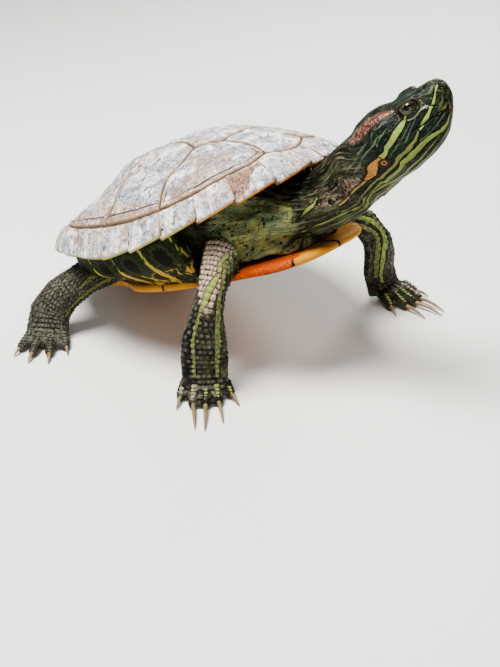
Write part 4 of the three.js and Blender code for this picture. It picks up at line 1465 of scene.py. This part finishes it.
# lids, by angle from the gaze as a share of the opening's: the upper lid's number comes first
lidShape = {
    "edge": (0.84, 1.03),  # vertices in between are snapped onto the edge
    "proud": 0.22,         # how far the lids stand over the eyeball, before they roll outwards
    "crease": (1.62, 1.5), "secondCrease": (1.34, 1.27),
    "blend": (1.15, 1.85), "reach": (2.7, 11),
}


def shapeLids(h):
    lidValue = np.full(len(h), 9.0)
    lidLower = np.zeros(len(h))
    for side in (-1, 1):
        value, away, w, edge, flat = openingValue(h, side)
        gaze = eyeAxes(side)[0]
        k = np.where((value < lidShape["reach"][0]) & (away < lidShape["reach"][1]))[0]
        val, dist, upper = value[k], away[k], w[k] > 0
        inner, outer = lidShape["edge"]
        snap = (val > inner) & (val < outer)
        turn = np.where(snap, 1.0, val) * edge[k]
        way = gaze * np.cos(turn)[:, None] + flat[k] * np.sin(turn)[:, None]
        roll = eye["lid"] * smoothStep(val, 1.0, 1.2) + 0.15 * upper * smoothStep(val, 1.1, 1.4)
        crease = np.exp(-((val - np.where(upper, *lidShape["crease"])) / 0.07) ** 2)
        second = np.exp(-((val - np.where(upper, *lidShape["secondCrease"])) / 0.05) ** 2)
        want = eye["radius"] + lidShape["proud"] + roll - 0.3 * crease - 0.16 * second
        want = np.where(val < inner, eye["radius"] - 1.0, want)
        want = np.where(snap, eye["radius"] + 0.12, want)
        blend = np.where(val < lidShape["blend"][0], 1, 1 - smoothStep(val, *lidShape["blend"]))
        least = np.where(val > 1.02, eye["radius"] + 0.3, 0) * (turn < 1.9)
        reach = np.maximum(want * blend + (dist - 0.25 * crease) * (1 - blend), least)
        reach = np.where(turn < 2.2, reach, dist)
        h[k] = eyeCentre(side) + way * reach[:, None]
        lidValue[k] = np.minimum(lidValue[k], val)
        lidLower[k] = np.maximum(lidLower[k], smoothStep(w[k], 1.2, -1.2))
    return h, lidValue, lidLower


hindDark = 0.15  # how far the hind legs are darkened


def skinRelief(p, s, bearing, onNeck):
    # how far each point is pushed out, with what the colours need to know of folds, mouth and head
    turn = np.abs(bearing)
    move = np.zeros(len(p))
    # long folds down the neck, stronger towards its base
    foldShare = onNeck * smoothStep(s, -8, -26)
    arc = np.radians(bearing) * headRadius(s)
    folds = 0.6 * wobble(np.column_stack([s / 6, arc]), 3.6, 31, 12)
    folds = folds + 0.7 * wobble(np.column_stack([s / 5, arc]), 8, 32, 10)
    move += skinSizes["fold"] * foldShare * folds * smoothStep(turn, 178, 160)
    creases = np.sin(s / 1.3 + 1.6 * wobble(p, 14, 33))
    move += skinSizes["crease"] * foldShare * creases * smoothStep(wobble(p, 18, 34), -0.2, 0.6)
    # cross folds on the limbs
    rolls = np.sin(s * 2.05 + 1.2 * wobble(p, 12, 35))
    move += skinSizes["roll"] * ~onNeck * rolls * (0.5 + 0.5 * wobble(p, 10, 36))
    # line of the mouth, with the beak standing a little over the jaw
    radius = headRadius(s)
    mouth = lineField(s, turn, radius, [mouthLine])
    onHead = onNeck * smoothStep(s, 9, 13)
    mouthAlong, mouthBearing, _ = np.array(mouthLine[::-1]).T
    bite = np.interp(s, mouthAlong, mouthBearing)
    above = (turn < bite) * smoothStep(-mouth, 3.2, 0.4)
    groove = skinSizes["mouth"] * smoothStep(mouth, -0.75, -0.1)
    move += onHead * (skinSizes["beak"] * above * smoothStep(s, 15, 20) - groove)
    # nostrils, and eardrums as faint discs behind the jaw
    head = toHead(p)
    for side in (-1, 1):
        pit = np.linalg.norm(head - np.array(skinSizes["nostril"]) * [1, side, 1], axis=1)
        move += -0.9 * smoothStep(pit, 1.5, 0.5) + 0.18 * np.exp(-((pit - 1.7) / 0.4) ** 2)
        drum = np.linalg.norm(head - np.array(skinSizes["eardrum"]) * [1, side, 1], axis=1)
        move += -0.16 * np.exp(-((drum - 3.6) / 0.6) ** 2) + 0.1 * smoothStep(drum, 3.2, 0)
    return move, foldShare * folds, np.where(onHead > 0.3, mouth, -20), onHead


def shapeSkin(mesh):
    p = unplace(meshArrays(mesh)[0])
    which, s, bearing = regionOf(p)
    onNeck = which == 0
    move, fold, mouth, onHead = skinRelief(p, s, bearing, onNeck)
    p = p + meshNormals(mesh) * (move - skinSizes["shrink"])[:, None]
    head = toHead(p)
    lidValue, lidLower = np.full(len(p), 9.0), np.zeros(len(p))
    inHead = np.where(onNeck & (s > 2))[0]
    head[inHead], lidValue[inHead], lidLower[inHead] = shapeLids(head[inHead])
    p[inHead] = fromHead(underBrow(head[inHead], *eye["browSkin"]))
    p[:, 2] = np.maximum(p[:, 2], 0.05)
    setVerts(mesh, place(p))
    which, s, bearing = regionOf(p)
    turn = np.abs(bearing)
    fields = markings(which, s, bearing)
    fields["lidValue"], fields["lidLower"] = lidValue, lidLower
    fields["along"], fields["round"] = s, np.radians(turn) * headRadius(s)
    fields["mouth"], fields["fold"] = mouth, fold
    fields["headness"] = onNeck * smoothStep(s, -16, -8)
    fields["beak"] = onHead * smoothStep(s, 24, 29)
    _, _, top, share = underShell(p)
    # painted shadow: skin lying deep under the carapace, within about 8 to 15 mm of the dome, is marked here
    # to be darkened
    fields["deep"] = (share < 0.97) * smoothStep(top, 15, 8)
    hindTubes = [k for k, name in enumerate(tubeNames) if name.startswith("hind")]
    fields["hind"] = np.isin(which, hindTubes) * 1.0
    fields["dark"] = onNeck * smoothStep(turn, 80, 30) + fields["hind"] * hindDark
    return fields


def buildSkin(material):
    mesh = changed(fleshSolid(), "REMESH", mode="VOXEL", voxel_size=skinSizes["voxel"] * mm)
    verts, edges = meshArrays(mesh)
    p = unplace(verts)
    nearFoot = smoothStep(p[:, 2], 14, 8)
    head = toHead(p)
    snout = smoothStep(head[:, 0], 6, 14) * (np.abs(head[:, 1]) < 22)
    strength = 1 - skinSizes["footKeeps"] * nearFoot - skinSizes["snoutKeeps"] * snout
    setVerts(mesh, smoothed(verts, edges, skinSizes["smooth"], strength))
    mesh = changed(mesh, "DECIMATE", group=hiddenInShell(p), ratio=skinSizes["hiddenShare"])
    mesh = finerHead(mesh)
    verts, edges = meshArrays(mesh)
    setVerts(mesh, smoothed(verts, edges, 4, np.ones(len(verts))))
    return pieceOf("skin", mesh, material, shapeSkin(mesh))


skinTints = {
    "headDark": (0.002, 0.004, 0.003), "headGreen": (0.008, 0.017, 0.011), "limbDark": (0.004, 0.005, 0.003),
    "limbOlive": (0.066, 0.068, 0.034), "neckBrown": (0.030, 0.022, 0.012), "bright": (0.20, 0.255, 0.055),
    "olive": (0.135, 0.145, 0.04), "thin": (0.095, 0.12, 0.07), "orange": (0.33, 0.155, 0.04),
    "tan": (0.26, 0.17, 0.05), "red": (0.085, 0.032, 0.022), "redPale": (0.30, 0.16, 0.11),
    "brown": (0.040, 0.015, 0.008), "pink": (0.15, 0.085, 0.055),
    "black": (0.002, 0.003, 0.002), "pale": (0.25, 0.24, 0.075), "paleBlue": (0.13, 0.165, 0.08),
    "gap": (0.002, 0.002, 0.001), "ridge": (0.15, 0.14, 0.07), "worn": (0.24, 0.23, 0.17),
    "beak": (0.09, 0.09, 0.025), "lid": (0.085, 0.075, 0.035), "lidDark": (0.008, 0.008, 0.004),
    "lidPale": (0.36, 0.36, 0.26), "hindGrey": (0.082, 0.078, 0.062), "arm": (0.30, 0.21, 0.16),
    "armPale": (0.60, 0.49, 0.38),
}


skinGrain = {
    "coarse": (7, 3), "fine": (1.6, 4, 0.7), "streak": (2.4, 3, 0.6, 1.5), "threads": (1.0, 2, 0.5, 0.5),
    "folds": (1.0, 3, 0.6, 0.4), "squiggle": (4.2, 1, 0.5, 1.2), "broken": (3.6, 2),
    "dots": (1.7, 2, 0.5, 0.8), "patch": (1.3, 4, 0.7),
}


def addLids(s, tint, coarse, fine):
    # pleated lids, black round the eye, with a pale line below it
    lid = s.plus(s.read("lidValue"), s.stray(coarse, 0.2))
    pleats = s.step(s.math("SINE", s.times(lid, 34)), 0.0, 0.8)
    lids = s.mix(pleats, "lidDark", "lid")
    lids = s.lay(lids, "lidDark", s.step(fine, 0.5, 0.62), 0.5)
    tint = s.lay(tint, lids, s.step(lid, 1.7, 1.5), 0.92)
    tint = s.lay(tint, "black", s.step(lid, 1.14, 1.06))
    under = s.times(s.step(s.apart(lid, 1.6), 0.075, 0.03), s.read("lidLower"))
    return s.lay(tint, "lidPale", under, 0.85)


def addMottling(s, tint, fine, coarse, share):
    # pale skin with dark squiggles and dots
    mottled = s.mix(s.step(coarse, 0.35, 0.6), "pale", "paleBlue")
    mottled = s.lay(mottled, "ridge", s.step(fine, 0.5, 0.7), 0.5)
    squiggle = s.apart(s.grain("squiggle"), 0.5)
    broken = s.step(s.grain("broken"), 0.46, 0.52)
    mottled = s.lay(mottled, "black", s.times(s.step(squiggle, 0.034, 0.02), broken))
    mottled = s.lay(mottled, "black", s.step(s.grain("dots"), 0.65, 0.7))
    return s.lay(tint, mottled, share)


def skinMaterial(name, scaly=False):
    s = Surface(name, 0.5, 0.13, skinTints, skinGrain)
    coarse, fine, streak = s.grain("coarse"), s.grain("fine"), s.grain("streak")

    def mark(field, low=-0.12, high=0.12, ragged=0.5):
        return s.step(s.plus(s.read(field), s.stray(fine, ragged)), low, high)

    limb = s.mix(s.step(coarse, 0.4, 0.65), "limbDark", "limbOlive")
    limb = s.lay(limb, "limbDark", s.read("dark"), 0.75)
    limb = s.lay(limb, "hindGrey", s.times(s.read("hind"), s.step(streak, 0.62, 0.38)))
    head = s.mix(s.step(streak, 0.45, 0.62), "headDark", "headGreen")
    tint = s.mix(s.read("headness"), s.mix(s.step(streak, 0.48, 0.62), limb, "neckBrown"), head)
    if not scaly:
        # fine threads along the head and neck
        grid = s.join(s.times(s.read("along"), 0.14), s.times(s.read("round"), 1.0), 0.0)
        threads = s.grain("threads", grid)
        band = s.math("SUBTRACT", 1.0, s.step(s.apart(threads, 0.5), 0.008, 0.026))
        tint = s.lay(tint, "thin", band, 0.4)
        tint = addLids(s, tint, coarse, fine)
    tint = addMottling(s, tint, fine, coarse, mark("pale", -2.2, 1.6, 5))
    pinks = ("arm", "armPale") if scaly else ("pink", "worn")
    pink = s.mix(s.step(fine, 0.4, 0.68), *pinks)
    if not scaly:
        pink = s.lay(pink, "black", s.step(streak, 0.5, 0.42))
    tint = s.lay(tint, pink, mark("pink", -2, 0.8, 4))
    tint = s.lay(tint, "black", mark("black", -2, 0.5, 3))
    if not scaly:
        # folds: painted shade in their valleys, black, and a painted highlight along their crests, pale, both
        # following the relief of the folds
        grid = s.join(s.times(s.read("along"), 0.085), s.times(s.read("round"), 0.62), 0.0)
        lines = s.grain("folds", grid)
        onNeck = s.step(s.math("ABSOLUTE", s.read("fold")), 0.0, 0.15)
        # painted shade in the folds' valleys
        foldShade = s.math("MAXIMUM", s.step(lines, 0.47, 0.41), s.step(s.read("fold"), -0.35, -0.8))
        notPale = s.math("SUBTRACT", 1.0, s.times(mark("pale", -2.2, 2.6, 5), 0.72))
        foldShade = s.times(s.times(foldShade, onNeck), notPale)
        tint = s.lay(tint, "black", foldShade, 0.88)
        # painted highlight along the folds' crests
        foldHighlight = s.times(s.step(lines, 0.57, 0.63), onNeck)
        tint = s.lay(tint, "ridge", foldHighlight, 0.62)
    for field in ("bright", "olive", "tan", "orange"):
        rimmed = s.mix(s.times(s.step(s.read(field), -0.75, -0.3), 0.85), tint, "black")
        lighter = tuple(min(1, c * 1.35) for c in skinTints[field])
        lit = s.mix(s.step(fine, 0.35, 0.75), field, lighter)
        lit = s.lay(lit, "olive", s.step(streak, 0.56, 0.7), 0.7)
        if field == "bright" and not scaly:
            jaw = s.step(s.math("ABSOLUTE", s.read("round")), 26, 30)
            lit = s.lay(lit, "olive", jaw, 0.7)
        tint = s.mix(mark(field, 0.0, 0.2), rimmed, lit)
    tint = s.lay(tint, "thin", mark("thin", -0.08, 0.12, 0.35), 0.7)
    red = s.mix(s.step(streak, 0.4, 0.62), "red", "redPale")
    red = s.lay(red, "brown", s.step(s.grain("patch"), 0.46, 0.6), 0.85)
    tint = s.lay(tint, red, mark("red", -0.5, 1.3, 3.2), 0.9)
    ring = s.read("ring")
    tint = s.lay(tint, "brown", s.step(ring, -2.3, -1.9))
    tint = s.lay(tint, "tan", s.step(ring, -1.2, -0.8))
    tint = s.lay(tint, "brown", s.step(ring, -0.75, -0.45))
    if scaly:
        # each scale lighter towards its domed middle, by a random share per scale and less on the hind legs
        paleMiddles = s.times(s.read("shade"), s.step(s.read("edge"), 0.2, 1.1))
        paleMiddles = s.times(paleMiddles, s.math("SUBTRACT", 1.0, s.times(s.read("hind"), 0.65)))
        tint = s.lay(tint, "worn", paleMiddles, 0.36)
        tint = s.lay(tint, "worn", s.step(fine, 0.52, 0.68), 0.3)
        gap = s.mix(mark("pink", -2, 0.8, 4), "gap", "arm")
        tint = s.lay(tint, gap, s.step(s.read("edge"), 0.42, 0.16), 0.7)
        normal = s.relief((fine, 0.14))
    else:
        beak = s.times(s.step(s.read("beak"), 0.1, 0.9), s.step(streak, 0.52, 0.62))
        tint = s.lay(tint, "beak", beak, 0.6)
        tint = s.lay(tint, "gap", s.step(s.read("mouth"), -0.45, -0.15))
        # painted shadow under the carapace: skin deep under the dome is laid over with the near-black gap
        # tint
        tint = s.lay(tint, "gap", s.read("deep"), 0.92)
        normal = s.relief((s.cells(0.8), -0.16), (fine, 0.1), (s.times(lines, onNeck), 0.9))
    return s.finish(tint, normal, s.plus(s.times(fine, 0.3), 0.28))


skin = buildSkin(skinMaterial("skin"))
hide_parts(*fleshNames)
print("skin: %d faces" % len(skin.data.polygons))


# Scales: lens-shaped plates set in rows round each limb

scaleRows = {
    # along: where rows begin and end; long and wide: size of one plate; face: bearings with broad plates
    "foreRight": {"along": (17, 93), "long": 3.1, "wide": 3.3, "face": (-50, 120), "fine": 2.1},
    "foreLeft": {"along": (22, 109), "long": 3.0, "wide": 3.2, "face": (-110, 60), "fine": 2.1},
    "hindRight": {"along": (20, 78), "long": 2.7, "wide": 2.5, "face": (-60, 120), "fine": 2.0},
    "hindLeft": {"along": (20, 77), "long": 2.7, "wide": 2.5, "face": (-60, 120), "fine": 2.0},
    "tail": {"along": (4, 56), "long": 2.2, "wide": 2.2, "face": (-180, 180), "fine": 2.0},
}
digitRows = {"long": 2.1, "across": [(0, 3.6), (62, 2.0), (-62, 2.0)], "height": 0.42}
scaleShape = {
    "height": 0.56, "tilt": 0.24, "gap": 0.2, "spokes": 12, "rims": (0.42, 0.75, 0.93, 1.04),
    "sunk": 0.05, "rimSunk": 0.3, "footSunk": 0.7,  # how far the plate, its outer ring and its foot go in
    "shoulder": (0.72, 25, 45),  # share of the size near the shell, and where it begins and ends to grow
    "unevenness": 0.15,
}
# unwrap for the bake, a strip for each tube: where a plate's patch may lie in it, and the patch's size
unwrap = {"across": (0.06, 0.88), "along": (0.02, 0.96), "patch": 0.0014}


class SurfaceMap:
    # how far the skin lies from a tube's centre line, by place along it and bearing

    def __init__(self, tube, tree, start, end):
        self.tube = tube
        self.s = np.arange(start - 3, end + 3.01, 1.0)
        self.bearings = np.arange(-180, 181, 5.0)
        self.reach = np.full((len(self.s), len(self.bearings)), np.nan)
        centres = tube.at(self.s)
        ahead, zero, side = tube.axes(self.s)
        over = np.maximum(self.s - tube.along[-1], 0) + np.minimum(self.s - tube.along[0], 0)
        centres = centres + ahead * over[:, None]
        limits = np.interp(self.s, tube.along, tube.radius) * 1.75 + 1
        for i, centre in enumerate(place(centres)):
            for j, bearing in enumerate(np.radians(self.bearings)):
                way = Vector(zero[i] * math.cos(bearing) + side[i] * math.sin(bearing))
                hit = tree.ray_cast(Vector(centre), way, limits[i] * mm)
                if hit[0] is not None:
                    self.reach[i, j] = hit[3] / mm

    def read(self, s, bearing):
        x = np.clip(s - self.s[0], 0, len(self.s) - 1.001)
        y = np.clip(((bearing + 180) % 360) / 5, 0, len(self.bearings) - 1.001)
        i, j = x.astype(int), y.astype(int)
        fx, fy = x - i, y - j
        a = self.reach
        near, far = (a[i, k] * (1 - fx) + a[i + 1, k] * fx for k in (j, j + 1))
        return near * (1 - fy) + far * fy

    def point(self, s, bearing, height):
        ahead, zero, side = self.tube.axes(s)
        over = np.maximum(s - self.tube.along[-1], 0) + np.minimum(s - self.tube.along[0], 0)
        angle = np.radians(bearing)[:, None]
        way = zero * np.cos(angle) + side * np.sin(angle)
        return self.tube.at(s) + ahead * over[:, None] + way * (self.read(s, bearing) + height)[:, None]


def plateForm():
    # one plate round (0, 0): its middle, rings of points with their share of the way out, and its foot
    spokes, rims = scaleShape["spokes"], scaleShape["rims"]
    spin = np.linspace(0, 2 * math.pi, spokes, endpoint=False)
    faces = [tuple(i + 1 for i in face) for face in stackFaces(len(rims), spokes)]
    faces += [(0, 1 + (k + 1) % spokes, 1 + k) for k in range(spokes)]
    last = 1 + (len(rims) - 1) * spokes
    foot = last + spokes
    faces += [(foot, last + k, last + (k + 1) % spokes) for k in range(spokes)]
    squarish = (np.abs(np.cos(spin)) ** 4 + np.abs(np.sin(spin)) ** 4) ** -0.25
    u = np.concatenate([[0], *[r * np.cos(spin) * squarish for r in rims], [0]])
    v = np.concatenate([[0], *[r * np.sin(spin) * squarish for r in rims], [0]])
    rho = np.concatenate([[0], *[np.full(spokes, r) for r in rims], rims[-1:]])
    return u, v, rho, faces


class ScalePile(MeshPile):
    # scales, with their places in the bake's unwrap

    def __init__(self):
        super().__init__()
        self.uv = []

    def addPlates(self, surface, name, centres, draw):
        # centres: rows of (along, bearing, half length, half width in mm, height)
        u, v, rho, faces = plateForm()
        n = len(u)
        total = len(centres)
        s, bearing, half, wide, high = [np.repeat(column, n) for column in np.array(centres).T]
        u, v, rho = np.tile(u, total), np.tile(v, total), np.tile(rho, total)
        isFoot = np.tile(np.arange(n) == n - 1, total)
        turn = np.repeat(draw.normal(0, 0.07, total), n)
        shade = np.repeat(draw.uniform(0, 1, total), n)
        lean = np.repeat(draw.normal(0, 0.05, total), n)
        u, v = u + turn * v, v - turn * u
        radius = np.nan_to_num(surface.read(s, bearing), nan=8.0)
        sAt = s + u * half
        bearingAt = bearing + np.degrees(v * wide / np.maximum(radius, 2))
        slope = (scaleShape["tilt"] * u + lean * v) * (1 - rho ** 8)
        height = high * (1 - np.clip(rho, 0, 1) ** 3) + slope - scaleShape["sunk"]
        height = np.where(rho > 1, -scaleShape["rimSunk"], height)
        height = np.where(isFoot, -scaleShape["footSunk"], height)
        p = surface.point(sAt, bearingAt, height)
        okay = ~np.isnan(p).any(1).reshape(total, n).any(1)
        keep = np.repeat(okay, n)
        p = p[keep]
        p[:, 2] = np.maximum(p[:, 2], 0.03)
        inside = np.minimum(1 - rho, 1) * half
        bearingAt = (bearingAt + 180) % 360 - 180
        number = tubeNames.index(name)
        fields = markings(np.full(len(p), number), sAt[keep], bearingAt[keep])
        hind = float(name.startswith("hind"))
        block = [tuple(i + b * n for i in face) for b in range(int(okay.sum())) for face in faces]
        self.add(p, block, edge=inside[keep], shade=shade[keep], hind=hind, dark=hindDark * hind,
                 headness=0.0, **fields)
        (left, span), (low, rise) = unwrap["across"], unwrap["along"]
        rootU = (number + left + span * ((bearing[keep] + 180) % 360) / 360) / len(tubeNames)
        rootV = low + rise * (s[keep] - surface.s[0]) / (surface.s[-1] - surface.s[0])
        patch = unwrap["patch"] * np.column_stack([v[keep], u[keep]])
        self.uv.append(np.column_stack([rootU, rootV]) + patch)

    def finish(self, name, material):
        obj = self.build(name, material)
        uv = np.concatenate(self.uv)
        layer = obj.data.uv_layers.new(name="OFBake")
        loops = np.empty(len(obj.data.loops), int)
        obj.data.loops.foreach_get("vertex_index", loops)
        layer.data.foreach_set("uv", uv[loops].ravel())
        return obj


def limbPlates(name, surface, draw):
    # staggered rows, broad plates on the outer face and fine ones elsewhere
    spec = scaleRows[name]
    centres = []
    s, row = spec["along"][0], 0
    low, high = spec["face"]
    gap = scaleShape["gap"] / 2
    least, begins, ends = scaleShape["shoulder"]
    uneven = (1 - scaleShape["unevenness"], 1 + scaleShape["unevenness"])
    while s < spec["along"][1]:
        long = spec["long"] * draw.uniform(0.92, 1.08)
        small = float(least + (1 - least) * smoothStep(s, begins, ends)) if name.startswith("fore") else 1
        long *= small
        radius = float(np.nanmean(surface.read(np.full(24, s), np.linspace(-180, 165, 24))))
        if not np.isfinite(radius):
            s += long
            continue
        bearing = -180.0 + (row % 2) * 8
        while bearing < 178:
            onFace = (low < bearing < high) if low > -180 else True
            wide = (spec["wide"] if onFace else spec["fine"]) * draw.uniform(*uneven)
            wide *= small
            step = math.degrees(wide / radius)
            rows = 1 if onFace else 2
            for part in range(rows):
                middle = s + long * ((part + 0.5) / rows - 0.5) + draw.normal(0, 0.06)
                shift = step / 2 + (step / 2 if part else 0)
                height = scaleShape["height"] * draw.uniform(*uneven) / rows ** 0.5
                around = (bearing + shift + 180) % 360 - 180
                centres.append((middle, around, long / rows / 2 - gap, wide / 2 - gap, height))
            bearing += step
        s += long
        row += 1
    return centres


def digitPlates(length, draw):
    centres = []
    s = -1.0
    while s < length - 1.2:
        long = digitRows["long"] * draw.uniform(0.92, 1.08)
        for bearing, wide in digitRows["across"]:
            centres.append((s, bearing, (long - scaleShape["gap"]) / 2, (wide - scaleShape["gap"]) / 2,
                            digitRows["height"]))
        s += long
    return centres


def buildScales(skin, material):
    mesh = skin.data
    verts, _ = meshArrays(mesh)
    tree = BVHTree.FromPolygons(verts.tolist(), [tuple(p.vertices) for p in mesh.polygons])
    made = []
    for limb in scaleRows:
        draw = np.random.default_rng(len(made) + 60)
        pile = ScalePile()
        start, end = scaleRows[limb]["along"]
        surface = SurfaceMap(tubes[limb], tree, start, end)
        pile.addPlates(surface, limb, limbPlates(limb, surface, draw), draw)
        for name in tubeNames:
            if name.startswith(limb + "Digit"):
                length = tubes[name].along[-1]
                top = SurfaceMap(tubes[name], tree, -1, length)
                pile.addPlates(top, name, digitPlates(length, draw), draw)
        obj = pile.finish("scales" + limb[0].upper() + limb[1:], material)
        made.append(obj)
    return made


scalePieces = buildScales(skin, skinMaterial("scales", scaly=True))
print("scales: %d faces" % sum(len(piece.data.polygons) for piece in scalePieces))


# Eyes and claws

# radius of iris and pupil, how far the cornea stands out, half width of the bar through the iris
eyeLook = {"iris": 3.3, "pupil": 1.5, "cornea": 0.3, "bar": 0.75, "columns": 64}


def buildEye(side, material):
    # rings run from the gaze backwards, with the cornea standing a little proud
    columns = eyeLook["columns"]
    turns = np.concatenate([np.linspace(0.01, 1.2, 40), np.linspace(1.25, math.pi - 0.01, 24)])
    spin = np.linspace(0, 2 * math.pi, columns, endpoint=False)
    gaze, slit, across = eyeAxes(side)
    rings, fromGaze, fromSlit = [], [], []
    for turn in turns:
        flat = eye["radius"] * math.sin(turn)
        bulge = eyeLook["cornea"] * float(smoothStep(flat, eyeLook["iris"] + 0.5, 0)) if turn < 1.5 else 0
        out = slit * np.cos(spin)[:, None] + across * np.sin(spin)[:, None]
        way = out * math.sin(turn) + gaze * math.cos(turn)
        rings.append(way * (eye["radius"] + bulge))
        fromGaze.append(np.full(columns, flat if turn < 1.57 else 9))
        fromSlit.append(flat * np.sin(spin))
    verts, faces = loftShell(rings)
    if side < 0:
        faces = [face[::-1] for face in faces]
    verts = underBrow(verts + eyeCentre(side), *eye["browBall"])
    data = {"fromGaze": np.concatenate([*fromGaze, [0, 9]]), "fromSlit": np.concatenate([*fromSlit, [0, 0]])}
    name = "eyeballLeft" if side > 0 else "eyeballRight"
    return makeObject(name, place(fromHead(verts)), faces, material, data)


eyeTints = {
    "irisDark": (0.010, 0.011, 0.004), "iris": (0.065, 0.068, 0.016), "ring": (0.17, 0.17, 0.05),
    "bar": (0.008, 0.006, 0.003), "pupil": (0.002, 0.002, 0.002),
    "whiteDark": (0.010, 0.009, 0.005), "white": (0.035, 0.030, 0.016),
}


def eyeMaterial():
    s = Surface("eyeball", 0.06, 0.2, eyeTints, {"flecks": (0.5, 3, 0.6)})
    out, bar = s.read("fromGaze"), s.math("ABSOLUTE", s.read("fromSlit"))
    flecks = s.grain("flecks")
    iris = s.mix(s.step(flecks, 0.42, 0.6), "irisDark", "iris")
    iris = s.lay(iris, "ring", s.step(out, 2.0, 1.6), 0.5)
    iris = s.lay(iris, "bar", s.step(bar, eyeLook["bar"] + 0.15, eyeLook["bar"] - 0.1))
    iris = s.lay(iris, "pupil", s.step(out, eyeLook["pupil"] + 0.08, eyeLook["pupil"] - 0.08))
    white = s.mix(s.step(flecks, 0.4, 0.7), "whiteDark", "white")
    tint = s.mix(s.step(out, eyeLook["iris"] - 0.15, eyeLook["iris"] + 0.1), iris, white)
    s.shader.inputs["Coat Weight"].default_value = 0.5
    s.shader.inputs["Coat Roughness"].default_value = 0.02
    return s.finish(tint)


eyeCoat = eyeMaterial()
for side, node in ((-1, "eye_right"), (1, "eye_left")):
    ball = buildEye(side, eyeCoat)
    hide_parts(node)


clawTints = {"dark": (0.09, 0.060, 0.025), "light": (0.34, 0.25, 0.12)}


def clawMaterial():
    s = Surface("clawHorn", 0.35, 0.3, clawTints, {"tint": (3, 3), "bump": (1, 3)})
    tint = s.mix(s.grain("tint"), "dark", "light")
    return s.finish(tint, s.relief((s.grain("bump"), 0.05)))


def buildClaws(material):
    for name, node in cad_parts.items():
        if not name.startswith("claw_"):
            continue
        shape = bmesh.new()
        shape.from_mesh(node.data)
        bmesh.ops.remove_doubles(shape, verts=shape.verts, dist=1e-6)
        mesh = bpy.data.meshes.new(name)
        shape.to_mesh(mesh)
        shape.free()
        title = "horn" + name[4:].title().replace("_", "")
        claw = pieceOf(title, changed(mesh, "SUBSURF", levels=2), material)
        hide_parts(name)


buildClaws(clawMaterial())
print("eyes and claws")
